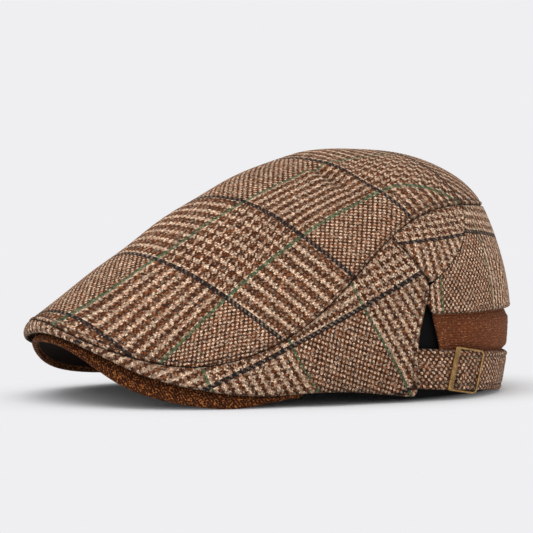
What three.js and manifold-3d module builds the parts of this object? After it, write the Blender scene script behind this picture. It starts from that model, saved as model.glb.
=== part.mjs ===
// A flat cap in checked tweed, lying on a surface as it does by itself.
// Millimetres, +Z up. The peak points to -Y and the wearer's left is +X.
import * as THREE from 'three';
import { mergeVertices } from 'three/addons/utils/BufferGeometryUtils.js';
import Module from 'manifold-3d';

// ---------------------------------------------------------------- driving dimensions

// The head's centre lies this far behind the middle of the whole cap.
const HEAD_Y = 29.8;

// Cloth walls and the small gaps between pieces.
const TWEED = 2.0;
const GAP = 0.3;
const LINING = 1.0;
const LINING_GAP = 1.2;
const PEAK_BOARD = 3.2;

// The crown, as sections from the front centre round the left side to the back centre.
// Each section runs from the rim up the side to the top seam, and over the top to the button point.
// rim, seam: points on the cloth's outer face, y from the head's centre.
// open: the head opening's edge.
// slopes, in degrees: how steeply the top rises at the seam, and how far the side leans in there and out at
// the rim.
// from: how far along the top panel the lining meets it.
const SECTIONS = [
  { rim: [0, -166.5, 35.5], seam: [0, -165, 43.5], open: [0, -103, 36], slopes: [34, 30, 22], from: 0.36 },
  { rim: [34, -160, 33.8], seam: [32, -158, 37.5], open: [23, -98.5, 34], slopes: [37, 28, 20], from: 0.34 },
  { rim: [62, -139, 21], seam: [60, -137, 27.5], open: [43, -88, 28], slopes: [43, 22, 18], from: 0.31 },
  { rim: [80, -108, 10.5], seam: [77, -105, 22], open: [59, -74, 19], slopes: [50, 16, 14], from: 0.27 },
  { rim: [87, -68, 6], seam: [82, -66, 31], open: [72.5, -54, 11], slopes: [57, 14, 10], from: 0.18 },
  { rim: [89, -30, 7], seam: [80, -28, 55], open: [81, -26, 5], slopes: [62, 20, 10], from: 0.06 },
  { rim: [87, 10, 3], seam: [71.5, 10.5, 88], open: [81, 10, 2], slopes: [60, 26, 10], from: 0 },
  { rim: [76, 55, 1.5], seam: [58, 48, 102], open: [71, 52, 1.5], slopes: [60, 28, 14], from: 0 },
  { rim: [45, 88.5, 1.2], seam: [33, 82, 102], open: [42, 84, 1.5], slopes: [60, 28, 12], from: 0 },
  { rim: [0, 101.5, 1.2], seam: [0, 94, 101], open: [0, 96, 1.5], slopes: [60, 28, 12], from: 0 },
];
const BUTTON = new THREE.Vector3(0, 20, 133);
const SIDE_PULL = 0.38;
const LINING_PULL = 0.3;
const TOP_PULL = 0.36;

// How sharply the top bends at the button point, across the cap and along it, per millimetre.
const BUTTON_BEND = { across: 0.0135, along: 0.006 };

// The cap lies a little twisted: its right front stands this much higher than its left.
const TWIST = 7;
const TWIST_BY_SECTION = [0, 0, 0.6, 1, 0.8, 0.5, 0.2, 0, 0, 0];

// How far the rim and the peak's edge sag at the right front, from the front centre.
const SAG = [[0, 0, 0], [0, 1.5, -4.3], [0, 1, -2.4], [0, 0, -1]];
const NO_SAG = [0, 0, 0];

// Panel edges on the side, as [height fraction from rim to seam, section number].
const SIDE_REAR_EDGE = [[0, 6.14], [0.3, 6.15], [0.48, 6.26], [0.62, 6.37], [0.8, 6.2], [1, 5.93]];
const GUSSET_REAR_EDGE = [[0.62, 6.38], [0.72, 6.78], [0.8, 7.02], [0.9, 7.22], [1, 7.35]];
const CORNER = 0.62;
const SLOT_TOP = 46;

// The strap round the back. Its lower edge slopes down from its ends to the back.
// hidden, shown: how far its face lies behind the crown's, inside the slot's corner and beyond it.
const STRAP = {
  width: 21.5,
  wall: 2.4,
  start: 5.85,
  endLow: 6.6,
  backLow: 0,
  slope: [6.2, 8.2],
  hidden: 2.6,
  shown: 0.2,
  emerges: [6.12, 6.45],
};

// The elastic insert behind the strap, which swells out above it.
// tucked: how far it lies behind the back panel's face. below, above: where it swells, from its ends.
const INSERT = {
  wall: 1.4,
  start: 6.42,
  low: 1.6,
  high: 50.5,
  depth: 3.3,
  bulge: 2.4,
  tucked: 2.4,
  below: [0.5, 7],
  above: [6, 0.5],
  swells: 0.7,
};

// The slide buckle on the left of the strap. It lifts the strap a little.
// bar, plate: width and thickness of its broad left side. sink: how deep its middle bar lies.
const BUCKLE = {
  at: 6.8,
  length: 21,
  height: 25,
  bar: 3.6,
  plate: 1.2,
  wire: 1.5,
  sides: 10,
  sink: 2.6,
  proud: 0.5,
  turn: 2,
  lift: 1.9,
  reach: 0.1,
};

// The peak, from its front centre to its rear tip: its lower edge, its bend under the rim and its back.
const PEAK = [
  { edge: [0, -163.8, 31.5], bend: [0, -162.8, 40], back: [0, -104, 36] },
  { edge: [34, -157.2, 27.4], bend: [33, -156, 34.5], back: [23, -99.5, 34] },
  { edge: [61.5, -138, 11], bend: [60, -136.5, 22.5], back: [43, -89, 28] },
  { edge: [78.5, -108, 2], bend: [77.5, -107, 12.5], back: [59, -75, 19] },
  { edge: [84.5, -82, 0.4], bend: [84, -81.5, 8.5], back: [71, -60, 11] },
  { edge: [84.5, -52, 3.2], bend: [83.5, -51, 7], back: [78.5, -46, 6.5] },
];

// The right half is twisted up in full from this far out.
const PEAK_TIP = 84.5;

// How far the peak's lower edge and its board run straight, before the bend rounds them off.
const PEAK_EDGE_RUN = 0.9;
const PEAK_BOARD_RUN = 0.7;

const COLOURS = {
  tweed: 0x7d5f4b,
  twill: 0x8a4f2b,
  suede: 0x63402c,
  lining: 0x17140f,
  brass: 0xa47f4e,
};

// ---------------------------------------------------------------- small maths

const UP = new THREE.Vector3(0, 0, 1);
const radians = THREE.MathUtils.degToRad;
const mix = THREE.MathUtils.lerp;
const smooth = THREE.MathUtils.smoothstep;
const range = (count) => Array.from({ length: count + 1 }, (_, i) => i / count);

// A smooth curve through rows of numbers at 0, 1, 2 ... Slopes are found by relaxation.
function spline(rows, closed) {
  const count = rows.length;
  const width = rows[0].length;
  const at = (i) => rows[closed ? (i + count) % count : THREE.MathUtils.clamp(i, 0, count - 1)];
  const slopes = rows.map(() => new Array(width).fill(0));
  const slopeAt = (i) => slopes[(i + count) % count];
  for (let pass = 0; pass < 60; pass += 1) {
    for (let i = 0; i < count; i += 1) {
      for (let k = 0; k < width; k += 1) {
        const rise = 3 * (at(i + 1)[k] - at(i - 1)[k]);
        if (closed || (i > 0 && i < count - 1)) {
          slopes[i][k] = (rise - slopeAt(i - 1)[k] - slopeAt(i + 1)[k]) / 4;
        } else {
          slopes[i][k] = (rise - slopeAt(i === 0 ? 1 : count - 2)[k]) / 2;
        }
      }
    }
  }
  return (t) => {
    const whole = closed ? Math.floor(t) : THREE.MathUtils.clamp(Math.floor(t), 0, count - 2);
    const u = t - whole;
    const i = closed ? ((whole % count) + count) % count : whole;
    const j = closed ? (i + 1) % count : i + 1;
    return rows[i].map((a, k) => (
      a * (2 * u ** 3 - 3 * u ** 2 + 1) + slopes[i][k] * (u ** 3 - 2 * u ** 2 + u)
      + rows[j][k] * (3 * u ** 2 - 2 * u ** 3) + slopes[j][k] * (u ** 3 - u ** 2)
    ));
  };
}

// A smooth edge through [v, t] points, with the slopes of its neighbours.
function edgeCurve(points) {
  const slope = points.map((_, i) => {
    const a = points[Math.max(i - 1, 0)];
    const b = points[Math.min(i + 1, points.length - 1)];
    return (b[1] - a[1]) / (b[0] - a[0]);
  });
  return (v) => {
    let i = 0;
    while (i < points.length - 2 && v > points[i + 1][0]) i += 1;
    const [v0, t0] = points[i];
    const [v1, t1] = points[i + 1];
    const u = THREE.MathUtils.clamp((v - v0) / (v1 - v0), 0, 1);
    const span = v1 - v0;
    return t0 * (2 * u ** 3 - 3 * u ** 2 + 1) + slope[i] * span * (u ** 3 - 2 * u ** 2 + u)
      + t1 * (3 * u ** 2 - 2 * u ** 3) + slope[i + 1] * span * (u ** 3 - u ** 2);
  };
}

function bezier(p0, p1, p2, p3, v) {
  const w = 1 - v;
  return new THREE.Vector3()
    .addScaledVector(p0, w ** 3)
    .addScaledVector(p1, 3 * w * w * v)
    .addScaledVector(p2, 3 * w * v * v)
    .addScaledVector(p3, v ** 3);
}

// ---------------------------------------------------------------- the crown's surface

const HALF = SECTIONS.length - 1;
const ROUND = 2 * HALF;

function mirrored(section, twist, sag = NO_SAG) {
  const flip = ([x, y, z]) => [-x, y, z + TWIST * twist];
  const rim = flip(section.rim).map((n, k) => n + sag[k]);
  return { ...section, rim, seam: flip(section.seam), open: flip(section.open) };
}

const rightSections = SECTIONS.slice(1, -1)
  .map((s, i) => mirrored(s, TWIST_BY_SECTION[i + 1], SAG[i + 1]))
  .reverse();
const sectionRows = [...SECTIONS, ...rightSections].map((s) => (
  [...s.rim, ...s.seam, ...s.open, ...s.slopes, s.from]
));
const sectionCurve = spline(sectionRows, true);

function sectionAt(t) {
  const row = sectionCurve(t);
  const section = {
    rim: new THREE.Vector3(row[0], row[1], row[2]),
    seam: new THREE.Vector3(row[3], row[4], row[5]),
    open: new THREE.Vector3(row[6], row[7], row[8]),
    top: radians(row[9]),
    lean: radians(row[10]),
    flare: radians(row[11]),
    from: Math.max(row[12], 0),
  };
  section.inward = BUTTON.clone().sub(section.seam).setZ(0).normalize();
  return section;
}

// The side, from the rim (v = 0) up to the top seam (v = 1).
function side(t, v) {
  const { rim, seam, inward, lean, flare } = sectionAt(t);
  const pull = seam.distanceTo(rim) * SIDE_PULL;
  const first = rim.clone().addScaledVector(inward, -Math.sin(flare) * pull);
  first.addScaledVector(UP, Math.cos(flare) * pull);
  const second = seam.clone().addScaledVector(inward, -Math.sin(lean) * pull);
  second.addScaledVector(UP, -Math.cos(lean) * pull);
  return bezier(rim, first, second, seam, v);
}

// The top, from the seam (v = 0) to the button point (v = 1).
function top(t, v) {
  const section = sectionAt(t);
  const { seam, inward } = section;
  const pull = BUTTON.distanceTo(seam) * TOP_PULL;
  const first = seam.clone().addScaledVector(inward, Math.cos(section.top) * pull);
  first.addScaledVector(UP, Math.sin(section.top) * pull);
  const bend = BUTTON_BEND.across * inward.x ** 2 + BUTTON_BEND.along * inward.y ** 2;
  const reach = Math.sqrt(Math.max(BUTTON.z - first.z, 1) * 2 / (3 * bend));
  const second = BUTTON.clone().addScaledVector(inward, -reach);
  return bezier(seam, first, second, BUTTON, v);
}

function normalOf(surface, t, v) {
  const step = 0.002;
  const low = Math.max(v - step, 0);
  const high = Math.min(v + step, 1);
  const around = surface(t + step, v).sub(surface(t - step, v));
  if (around.length() < 1e-3) return UP.clone();
  return around.cross(surface(t, high).sub(surface(t, low))).normalize();
}

// Where side and top meet, their walls share a mitre, so neither wall enters the other.
function seamNormal(t) {
  const below = normalOf(side, t, 1);
  const above = normalOf(top, t, 0);
  const mitre = below.clone().add(above).normalize();
  return mitre.divideScalar(mitre.dot(below));
}

// The height fraction at which the side stands at height z.
function fractionAt(t, z) {
  let low = 0;
  let high = 1;
  for (let pass = 0; pass < 30; pass += 1) {
    const middle = (low + high) / 2;
    if (side(t, middle).z < z) low = middle;
    else high = middle;
  }
  return (low + high) / 2;
}

// ---------------------------------------------------------------- closed walls

// A closed wall from a grid of point pairs. loop joins the last column to the first,
// and pole closes the last row to a point.
function wall(columns, rows, pair, { loop = false, pole = false } = {}) {
  const points = [];
  const faces = [];
  const grid = [[], []];
  const add = (p) => points.push(p.x, p.y + HEAD_Y, p.z) / 3 - 1;
  for (let i = 0; i < columns.length; i += 1) {
    grid[0].push([]);
    grid[1].push([]);
    rows.forEach((row, j) => {
      const shared = pole && j === rows.length - 1 && i > 0;
      const both = shared ? null : pair(columns[i], row);
      grid[0][i].push(shared ? grid[0][0][j] : add(both[0]));
      grid[1][i].push(shared ? grid[1][0][j] : add(both[1]));
    });
  }
  const face = (a, b, c) => {
    if (a !== b && b !== c && a !== c) faces.push(a, b, c);
  };
  const quad = (a, b, c, d) => {
    face(a, b, c);
    face(a, c, d);
  };
  const last = columns.length - 1;
  const height = rows.length - 1;
  const spans = loop ? columns.length : last;
  for (let i = 0; i < spans; i += 1) {
    const k = (i + 1) % columns.length;
    for (let j = 0; j < height; j += 1) {
      quad(grid[0][i][j], grid[0][k][j], grid[0][k][j + 1], grid[0][i][j + 1]);
      quad(grid[1][i][j], grid[1][i][j + 1], grid[1][k][j + 1], grid[1][k][j]);
    }
    quad(grid[1][i][0], grid[1][k][0], grid[0][k][0], grid[0][i][0]);
    if (!pole) quad(grid[0][i][height], grid[0][k][height], grid[1][k][height], grid[1][i][height]);
  }
  if (!loop) {
    for (let j = 0; j < height; j += 1) {
      quad(grid[1][0][j], grid[0][0][j], grid[0][0][j + 1], grid[1][0][j + 1]);
      quad(grid[0][last][j], grid[1][last][j], grid[1][last][j + 1], grid[0][last][j + 1]);
    }
  }
  const geometry = new THREE.BufferGeometry();
  geometry.setAttribute('position', new THREE.Float32BufferAttribute(points, 3));
  geometry.setIndex(faces);
  return geometry;
}

// ---------------------------------------------------------------- tweed panels

// Rows of height fractions that all side panels share, so their edges meet point for point.
const SLOT_ROW = fractionAt(SIDE_REAR_EDGE[2][1], SLOT_TOP);
const SIDE_ROWS = [0, 0.15, 0.3, SLOT_ROW, 0.54, CORNER + 0.04, 0.75, 0.84, 0.92, 1];

const sideRearEdge = edgeCurve(SIDE_REAR_EDGE);
const gussetRearEdge = edgeCurve(GUSSET_REAR_EDGE);

// Half a gap, as a fraction of a curve of this length, and in section numbers round the back.
const halfGap = (length) => GAP / 2 / length;
const BACK_SECTION_LENGTH = 45;
const EDGE_STEP = halfGap(BACK_SECTION_LENGTH);

// A point pair of the side's cloth, with the mitre at the top seam.
function sidePair(t, v) {
  const atSeam = v >= 1;
  const length = side(t, 1).distanceTo(side(t, 0));
  const fraction = atSeam ? 1 - 2 * halfGap(length) : v;
  const outer = side(t, fraction);
  const normal = atSeam ? seamNormal(t) : normalOf(side, t, v);
  return [outer, outer.clone().addScaledVector(normal, -TWEED)];
}

function crownTop() {
  const columns = range(50).slice(0, -1).map((a) => a * ROUND);
  const rows = [0, 0.06, 0.14, 0.24, 0.36, 0.5, 0.64, 0.78, 0.9, 1];
  return wall(columns, rows, (t, v) => {
    const atSeam = v === 0;
    const length = BUTTON.distanceTo(sectionAt(t).seam);
    const fraction = atSeam ? 2 * halfGap(length) : v;
    const outer = top(t, fraction);
    const normal = atSeam ? seamNormal(t) : normalOf(top, t, v);
    return [outer, outer.clone().addScaledVector(normal, -TWEED)];
  }, { loop: true, pole: true });
}

function sideBand() {
  return wall(range(46), SIDE_ROWS, (a, v) => {
    const reach = sideRearEdge(v) - EDGE_STEP;
    return sidePair(mix(-reach, reach, a), v);
  });
}

// A triangle between the side band's rear edge and the back panel.
function gusset(sign) {
  return wall(range(5), SIDE_ROWS.filter((v) => v > CORNER), (a, v) => {
    const front = sideRearEdge(v) + EDGE_STEP;
    const rear = gussetRearEdge(v) - EDGE_STEP;
    const t = sign > 0 ? mix(front, rear, a) : ROUND - mix(rear, front, a);
    return sidePair(t, v);
  });
}

function backPanel() {
  const reachAt = (v) => (v < CORNER ? sideRearEdge(v) : gussetRearEdge(v)) + EDGE_STEP;
  const across = (a, v) => mix(reachAt(v), ROUND - reachAt(v), a);
  return wall(range(20), SIDE_ROWS.filter((v) => v >= SLOT_ROW), (a, v) => {
    const low = fractionAt(across(a, SLOT_ROW), SLOT_TOP);
    return sidePair(across(a, v), mix(low, 1, (v - SLOT_ROW) / (1 - SLOT_ROW)));
  });
}

// ---------------------------------------------------------------- lining

function liningShoulder(t, v) {
  return top(t, mix(sectionAt(t).from, 1, v));
}

function insetShoulder(t, v) {
  const normal = normalOf(liningShoulder, t, v);
  return liningShoulder(t, v).addScaledVector(normal, -(TWEED + LINING_GAP));
}

function liningWall(t, v) {
  const { open, inward, flare } = sectionAt(t);
  const meets = insetShoulder(t, 0);
  const along = insetShoulder(t, 0.01).sub(meets).normalize();
  const pull = open.distanceTo(meets) * LINING_PULL;
  const first = open.clone().addScaledVector(inward, -Math.sin(flare) * pull);
  first.addScaledVector(UP, Math.cos(flare) * pull);
  return bezier(open, first, meets.clone().addScaledVector(along, -pull), meets, v);
}

function lining() {
  const columns = range(44).slice(0, -1).map((a) => a * ROUND);
  const rows = [0, 0.2, 0.4, 0.6, 0.8, 1, 1.12, 1.3, 1.5, 1.75, 2];
  return wall(columns, rows, (t, w) => {
    const surface = w <= 1 ? liningWall : insetShoulder;
    const v = w <= 1 ? w : w - 1;
    const outer = surface(t, v);
    return [outer, outer.clone().addScaledVector(normalOf(surface, t, v), -LINING)];
  }, { loop: true, pole: true });
}

// ---------------------------------------------------------------- strap and insert

// Distance round from the nearer slot corner, the same on both sides of the back.
const fromFront = (t) => Math.min(t, ROUND - t);

function strapLow(t) {
  const [from, to] = STRAP.slope;
  const share = THREE.MathUtils.clamp((fromFront(t) - from) / (to - from), 0, 1);
  return mix(STRAP.endLow, STRAP.backLow, share);
}

// How far the strap's outer face lies behind the crown's own surface.
function strapDepth(t) {
  const face = mix(STRAP.hidden, STRAP.shown, smooth(fromFront(t), ...STRAP.emerges));
  return face - BUCKLE.lift * Math.exp(-(((t - BUCKLE.at) / BUCKLE.reach) ** 2));
}

// A point at height z, moved level from the side's surface by depth.
function levelPoint(t, z, depth) {
  const v = fractionAt(t, z);
  const outward = normalOf(side, t, v).setZ(0).normalize();
  const point = side(t, v).addScaledVector(outward, -depth);
  return point.setZ(z);
}

function backStrap() {
  const before = BUCKLE.at - 3 * BUCKLE.reach;
  const beyond = BUCKLE.at + 3 * BUCKLE.reach;
  const columns = [
    ...range(8).map((a) => mix(STRAP.start, before, a)),
    ...range(12).slice(1).map((a) => mix(before, beyond, a)),
    ...range(36).slice(1).map((a) => mix(beyond, ROUND - STRAP.start, a)),
  ];
  return wall(columns, range(3), (t, b) => {
    const z = strapLow(t) + b * STRAP.width;
    const depth = strapDepth(t);
    return [levelPoint(t, z, depth), levelPoint(t, z, depth + STRAP.wall)];
  });
}

// The insert stays behind the strap, swells out above it and tucks in behind the back panel.
function insertDepth(t, z) {
  const strapTop = strapLow(t) + STRAP.width;
  const rises = smooth(z, strapTop + INSERT.below[0], strapTop + INSERT.below[1]);
  const tucks = smooth(z, SLOT_TOP - INSERT.above[0], SLOT_TOP - INSERT.above[1]);
  const swell = smooth(fromFront(t), INSERT.start, INSERT.start + INSERT.swells);
  const face = INSERT.depth - INSERT.bulge * rises * (1 - tucks) * swell;
  return mix(face, Math.max(face, INSERT.tucked), tucks);
}

function innerBand() {
  const columns = range(26).map((a) => mix(INSERT.start, ROUND - INSERT.start, a));
  return wall(columns, range(10), (t, b) => {
    const z = mix(INSERT.low, INSERT.high, b);
    const depth = insertDepth(t, z);
    return [levelPoint(t, z, depth), levelPoint(t, z, depth + INSERT.wall)];
  });
}

// ---------------------------------------------------------------- peak

// A row of the peak's table. The right half is the left one mirrored, twisted up and sagging with the cap.
function peakRow(p, flip, sag = NO_SAG) {
  return ['edge', 'bend', 'back'].flatMap((key) => {
    const [x, y, z] = p[key];
    if (!flip) return p[key];
    const [, back, down] = key === 'back' ? NO_SAG : sag;
    return [-x, y + back, z + down + TWIST * Math.min(x / PEAK_TIP, 1)];
  });
}

const peakRows = [
  ...PEAK.slice(1).map((p, i) => peakRow(p, true, SAG[i + 1])).reverse(),
  ...PEAK.map((p) => peakRow(p, false)),
];
const peakCurve = spline(peakRows, false);

// The peak's upper face: the board from its back (v = 1) to the bend, and the turned-down edge.
function peakFace(t, v) {
  const row = peakCurve(t);
  const edge = new THREE.Vector3(row[0], row[1], row[2]);
  const bend = new THREE.Vector3(row[3], row[4], row[5]);
  const back = new THREE.Vector3(row[6], row[7], row[8]);
  return new THREE.CubicBezierCurve3(
    edge,
    edge.clone().lerp(bend, PEAK_EDGE_RUN),
    back.clone().lerp(bend, PEAK_BOARD_RUN),
    back,
  ).getPoint(v);
}

function peak() {
  const last = peakRows.length - 1;
  const columns = range(36).map((a) => a * last);
  const rows = [0, 0.1, 0.2, 0.32, 0.46, 0.64, 0.82, 1];
  return wall(columns, rows, (t, v) => {
    const held = THREE.MathUtils.clamp(t, 0.01, last - 0.01);
    const outer = peakFace(t, v);
    const inner = outer.clone().addScaledVector(normalOf(peakFace, held, v), -PEAK_BOARD);
    inner.z = Math.max(inner.z, 0);
    return [outer, inner];
  });
}

// ---------------------------------------------------------------- buckle

const manifold = await Module();
manifold.setup();

function toSolid(geometry) {
  const bare = new THREE.BufferGeometry();
  bare.setAttribute('position', geometry.getAttribute('position').clone());
  bare.setIndex(geometry.index);
  const merged = mergeVertices(bare, 1e-4);
  return new manifold.Manifold(new manifold.Mesh({
    numProp: 3,
    vertProperties: Float32Array.from(merged.getAttribute('position').array),
    triVerts: Uint32Array.from(merged.index.array),
  }));
}

function toGeometry(solid) {
  const mesh = solid.getMesh();
  const geometry = new THREE.BufferGeometry();
  geometry.setAttribute('position', new THREE.BufferAttribute(Float32Array.from(mesh.vertProperties), 3));
  geometry.setIndex(new THREE.BufferAttribute(Uint32Array.from(mesh.triVerts), 1));
  return geometry;
}

// Laid out flat: x along the strap, y up across it, z outward.
function buckle() {
  const { length, height, bar, plate, wire, sides, sink } = BUCKLE;
  const rail = height / 2 - wire / 2;
  const end = length / 2 - bar / 2;
  const rod = (reach) => new THREE.CylinderGeometry(wire / 2, wire / 2, reach, sides);
  const upright = (x, z) => rod(height).translate(x, 0, z);
  const level = (y) => rod(length - bar / 2).rotateZ(Math.PI / 2).translate(bar / 4, y, 0);
  const post = (y) => new THREE.BoxGeometry(wire, wire * 0.9, sink).translate(0, y, -sink / 2);
  const pieces = [
    new THREE.BoxGeometry(bar, height, plate).translate(-end, 0, 0),
    upright(length / 2 - wire / 2, 0),
    upright(0, -sink),
    level(rail),
    level(-rail),
    post(rail),
    post(-rail),
  ];
  return toGeometry(pieces.map(toSolid).reduce((whole, piece) => whole.add(piece)));
}

// The frame of the strap's face where the buckle sits.
function placeBuckle(mesh) {
  const t = BUCKLE.at;
  const middle = strapLow(t) + STRAP.width / 2;
  const v = fractionAt(t, middle);
  const outward = normalOf(side, t, v);
  const upward = side(t, v + 0.05).sub(side(t, v - 0.05));
  const along = upward.clone().cross(outward).normalize();
  upward.copy(outward).cross(along);
  const origin = side(t, v).addScaledVector(outward, BUCKLE.proud);
  origin.y += HEAD_Y;
  mesh.applyMatrix4(new THREE.Matrix4().makeBasis(along, upward, outward).setPosition(origin));
  mesh.rotateZ(-radians(BUCKLE.turn));
}

// ---------------------------------------------------------------- the cap

const cloth = (colour) => new THREE.MeshStandardMaterial({ color: colour, roughness: 0.95, metalness: 0 });
const brass = () => new THREE.MeshStandardMaterial({ color: COLOURS.brass, roughness: 0.35, metalness: 1 });

const group = new THREE.Group();

function add(name, geometry, material) {
  const mesh = new THREE.Mesh(geometry, material);
  mesh.name = name;
  group.add(mesh);
  return mesh;
}

add('crown_top', crownTop(), cloth(COLOURS.tweed));
add('side_band', sideBand(), cloth(COLOURS.tweed));
add('gusset_left', gusset(1), cloth(COLOURS.tweed));
add('gusset_right', gusset(-1), cloth(COLOURS.tweed));
add('back_panel', backPanel(), cloth(COLOURS.tweed));
add('peak', peak(), cloth(COLOURS.twill));
add('lining', lining(), cloth(COLOURS.lining));
add('inner_band', innerBand(), cloth(COLOURS.suede));
add('back_strap', backStrap(), cloth(COLOURS.tweed));
placeBuckle(add('buckle', buckle(), brass()));

export default group;
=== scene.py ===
"""A flat cap in brown checked tweed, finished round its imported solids.

Sizes are in millimetres until a mesh is made, y counts from the head's centre, and the peak points to -Y.
"""

import math
from functools import partialmethod

import bmesh
import bpy
import numpy as np
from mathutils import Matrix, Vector


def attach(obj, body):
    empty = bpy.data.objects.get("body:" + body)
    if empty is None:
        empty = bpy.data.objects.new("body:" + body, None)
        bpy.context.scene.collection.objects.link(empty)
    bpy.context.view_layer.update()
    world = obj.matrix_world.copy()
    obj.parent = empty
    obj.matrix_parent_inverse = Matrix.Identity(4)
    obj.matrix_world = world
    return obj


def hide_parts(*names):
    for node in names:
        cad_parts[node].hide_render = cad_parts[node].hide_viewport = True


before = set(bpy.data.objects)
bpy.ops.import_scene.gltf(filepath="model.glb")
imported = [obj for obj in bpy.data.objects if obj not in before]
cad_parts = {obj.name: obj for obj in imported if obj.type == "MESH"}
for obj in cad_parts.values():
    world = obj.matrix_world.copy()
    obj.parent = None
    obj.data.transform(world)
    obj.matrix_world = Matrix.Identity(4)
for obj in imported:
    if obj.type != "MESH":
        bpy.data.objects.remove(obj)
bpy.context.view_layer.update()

# ---------------------------------------------------------------- sizes of the frame, in millimetres

HEAD_Y = 29.8
GAP = 0.3

# The crown's sections, from the front centre round the left side to the back centre. Each has the
# points of the rim and the seam on the cloth's face, and of the head opening's edge. Then come the top's
# rise at the seam, the side's inward lean there and its outward lean at the rim, in degrees, and how far
# along the top the lining meets it.
SECTIONS = [
    ((0, -166.5, 35.5), (0, -165, 43.5), (0, -103, 36), (34, 30, 22), 0.36),
    ((34, -160, 33.8), (32, -158, 37.5), (23, -98.5, 34), (37, 28, 20), 0.34),
    ((62, -139, 21), (60, -137, 27.5), (43, -88, 28), (43, 22, 18), 0.31),
    ((80, -108, 10.5), (77, -105, 22), (59, -74, 19), (50, 16, 14), 0.27),
    ((87, -68, 6), (82, -66, 31), (72.5, -54, 11), (57, 14, 10), 0.18),
    ((89, -30, 7), (80, -28, 55), (81, -26, 5), (62, 20, 10), 0.06),
    ((87, 10, 3), (71.5, 10.5, 88), (81, 10, 2), (60, 26, 10), 0),
    ((76, 55, 1.5), (58, 48, 102), (71, 52, 1.5), (60, 28, 14), 0),
    ((45, 88.5, 1.2), (33, 82, 102), (42, 84, 1.5), (60, 28, 12), 0),
    ((0, 101.5, 1.2), (0, 94, 101), (0, 96, 1.5), (60, 28, 12), 0),
]
BUTTON = np.array((0.0, 20.0, 133.0))
# How far each curve runs on along its end slopes, as a share of the straight line between its ends.
SIDE_PULL = 0.38
LINING_PULL = 0.3
TOP_PULL = 0.36
# How sharply the top bends at the button.
BEND_ACROSS = 0.0135
BEND_ALONG = 0.006
# The right side is a mirror of the left, lifted by a twist and sagging back and down at its front.
TWIST = 7
TWIST_BY_SECTION = [0, 0, 0.6, 1, 0.8, 0.5, 0.2, 0, 0, 0]
NO_SAG = (0, 0)
SAG = [NO_SAG, (1.5, -4.3), (1, -2.4), (0, -1)] + [NO_SAG] * 6
HALF = len(SECTIONS) - 1
ROUND = 2 * HALF

# Edges between panels at the back: the share of the side's height, and the way round the cap.
SIDE_REAR_EDGE = [(0, 6.14), (0.3, 6.15), (0.48, 6.26), (0.62, 6.37), (0.8, 6.2), (1, 5.93)]
GUSSET_REAR_EDGE = [(0.62, 6.38), (0.72, 6.78), (0.8, 7.02), (0.9, 7.22), (1, 7.35)]
CORNER = 0.62
SLOT_TOP = 46

UP = np.array((0.0, 0.0, 1.0))


def mix(a, b, share):
    return a + (b - a) * share


def smooth(x, low, high):
    share = np.clip((x - low) / (high - low), 0, 1)
    return share * share * (3 - 2 * share)


def bump(x, centre, width):
    return np.exp(-((x - centre) / width) ** 2)


def paired(t, v):
    return np.broadcast_arrays(np.asarray(t, float), np.asarray(v, float))


def nearest(first, *others):
    """The least of several distances, point by point."""
    for other in others:
        first = np.minimum(first, other)
    return first


def run_along(line):
    """How far each point of a line is from its start."""
    return np.concatenate([[0], np.cumsum(np.linalg.norm(np.diff(line, axis=0), axis=-1))])


def unit(vectors):
    length = np.linalg.norm(vectors, axis=-1, keepdims=True)
    return vectors / np.maximum(length, 1e-9)


def hermite(a, b, slope_a, slope_b, u):
    return (
        a * (2 * u**3 - 3 * u**2 + 1) + slope_a * (u**3 - 2 * u**2 + u)
        + b * (3 * u**2 - 2 * u**3) + slope_b * (u**3 - u**2)
    )


def spline(rows, closed):
    """A smooth curve through rows of numbers at 0, 1, 2 ..."""
    rows = np.array(rows, float)
    count = len(rows)
    system = np.eye(count) * 4
    rise = np.zeros_like(rows)
    for i in range(count):
        before, after = (i - 1) % count, (i + 1) % count
        if not closed:
            before, after = max(i - 1, 0), min(i + 1, count - 1)
            system[i, i] = 2 if i in (0, count - 1) else 4
        if before != i:
            system[i, before] += 1
        if after != i:
            system[i, after] += 1
        rise[i] = 3 * (rows[after] - rows[before])
    slopes = np.linalg.solve(system, rise)

    def at(t):
        t = np.asarray(t, float)
        whole = np.floor(t).astype(int)
        if closed:
            i, j = whole % count, (whole + 1) % count
        else:
            whole = np.clip(whole, 0, count - 2)
            i, j = whole, whole + 1
        u = (t - whole)[..., None]
        return hermite(rows[i], rows[j], slopes[i], slopes[j], u)

    return at


def edge_curve(points):
    """A smooth edge through (v, t) points, with the slopes of its neighbours."""
    v, t = np.array(points, float).T
    after = np.minimum(np.arange(len(v)) + 1, len(v) - 1)
    before = np.maximum(np.arange(len(v)) - 1, 0)
    slope = (t[after] - t[before]) / (v[after] - v[before])

    def at(x):
        i = np.clip(np.searchsorted(v, x, side="right") - 1, 0, len(v) - 2)
        span = v[i + 1] - v[i]
        u = np.clip((x - v[i]) / span, 0, 1)
        return hermite(t[i], t[i + 1], slope[i] * span, slope[i + 1] * span, u)

    return at


def bezier(p0, p1, p2, p3, v):
    w = 1 - v
    return w**3 * p0 + 3 * w * w * v * p1 + 3 * w * v * v * p2 + v**3 * p3


def mirrored(point, twist, sag=NO_SAG):
    """The point on the right that matches one on the left."""
    x, y, z = point
    back, rise = sag
    return -x, y + back, z + rise + TWIST * twist


def crown_curve():
    left = [[*rim, *seam, *opening, *slopes, start] for rim, seam, opening, slopes, start in SECTIONS]
    right = []
    for (rim, *others, slopes, start), twist, sag in zip(SECTIONS, TWIST_BY_SECTION, SAG):
        seam, opening = (mirrored(point, twist) for point in others)
        right.append([*mirrored(rim, twist, sag), *seam, *opening, *slopes, start])
    return spline(left + right[-2:0:-1], True)


CROWN = crown_curve()


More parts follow.
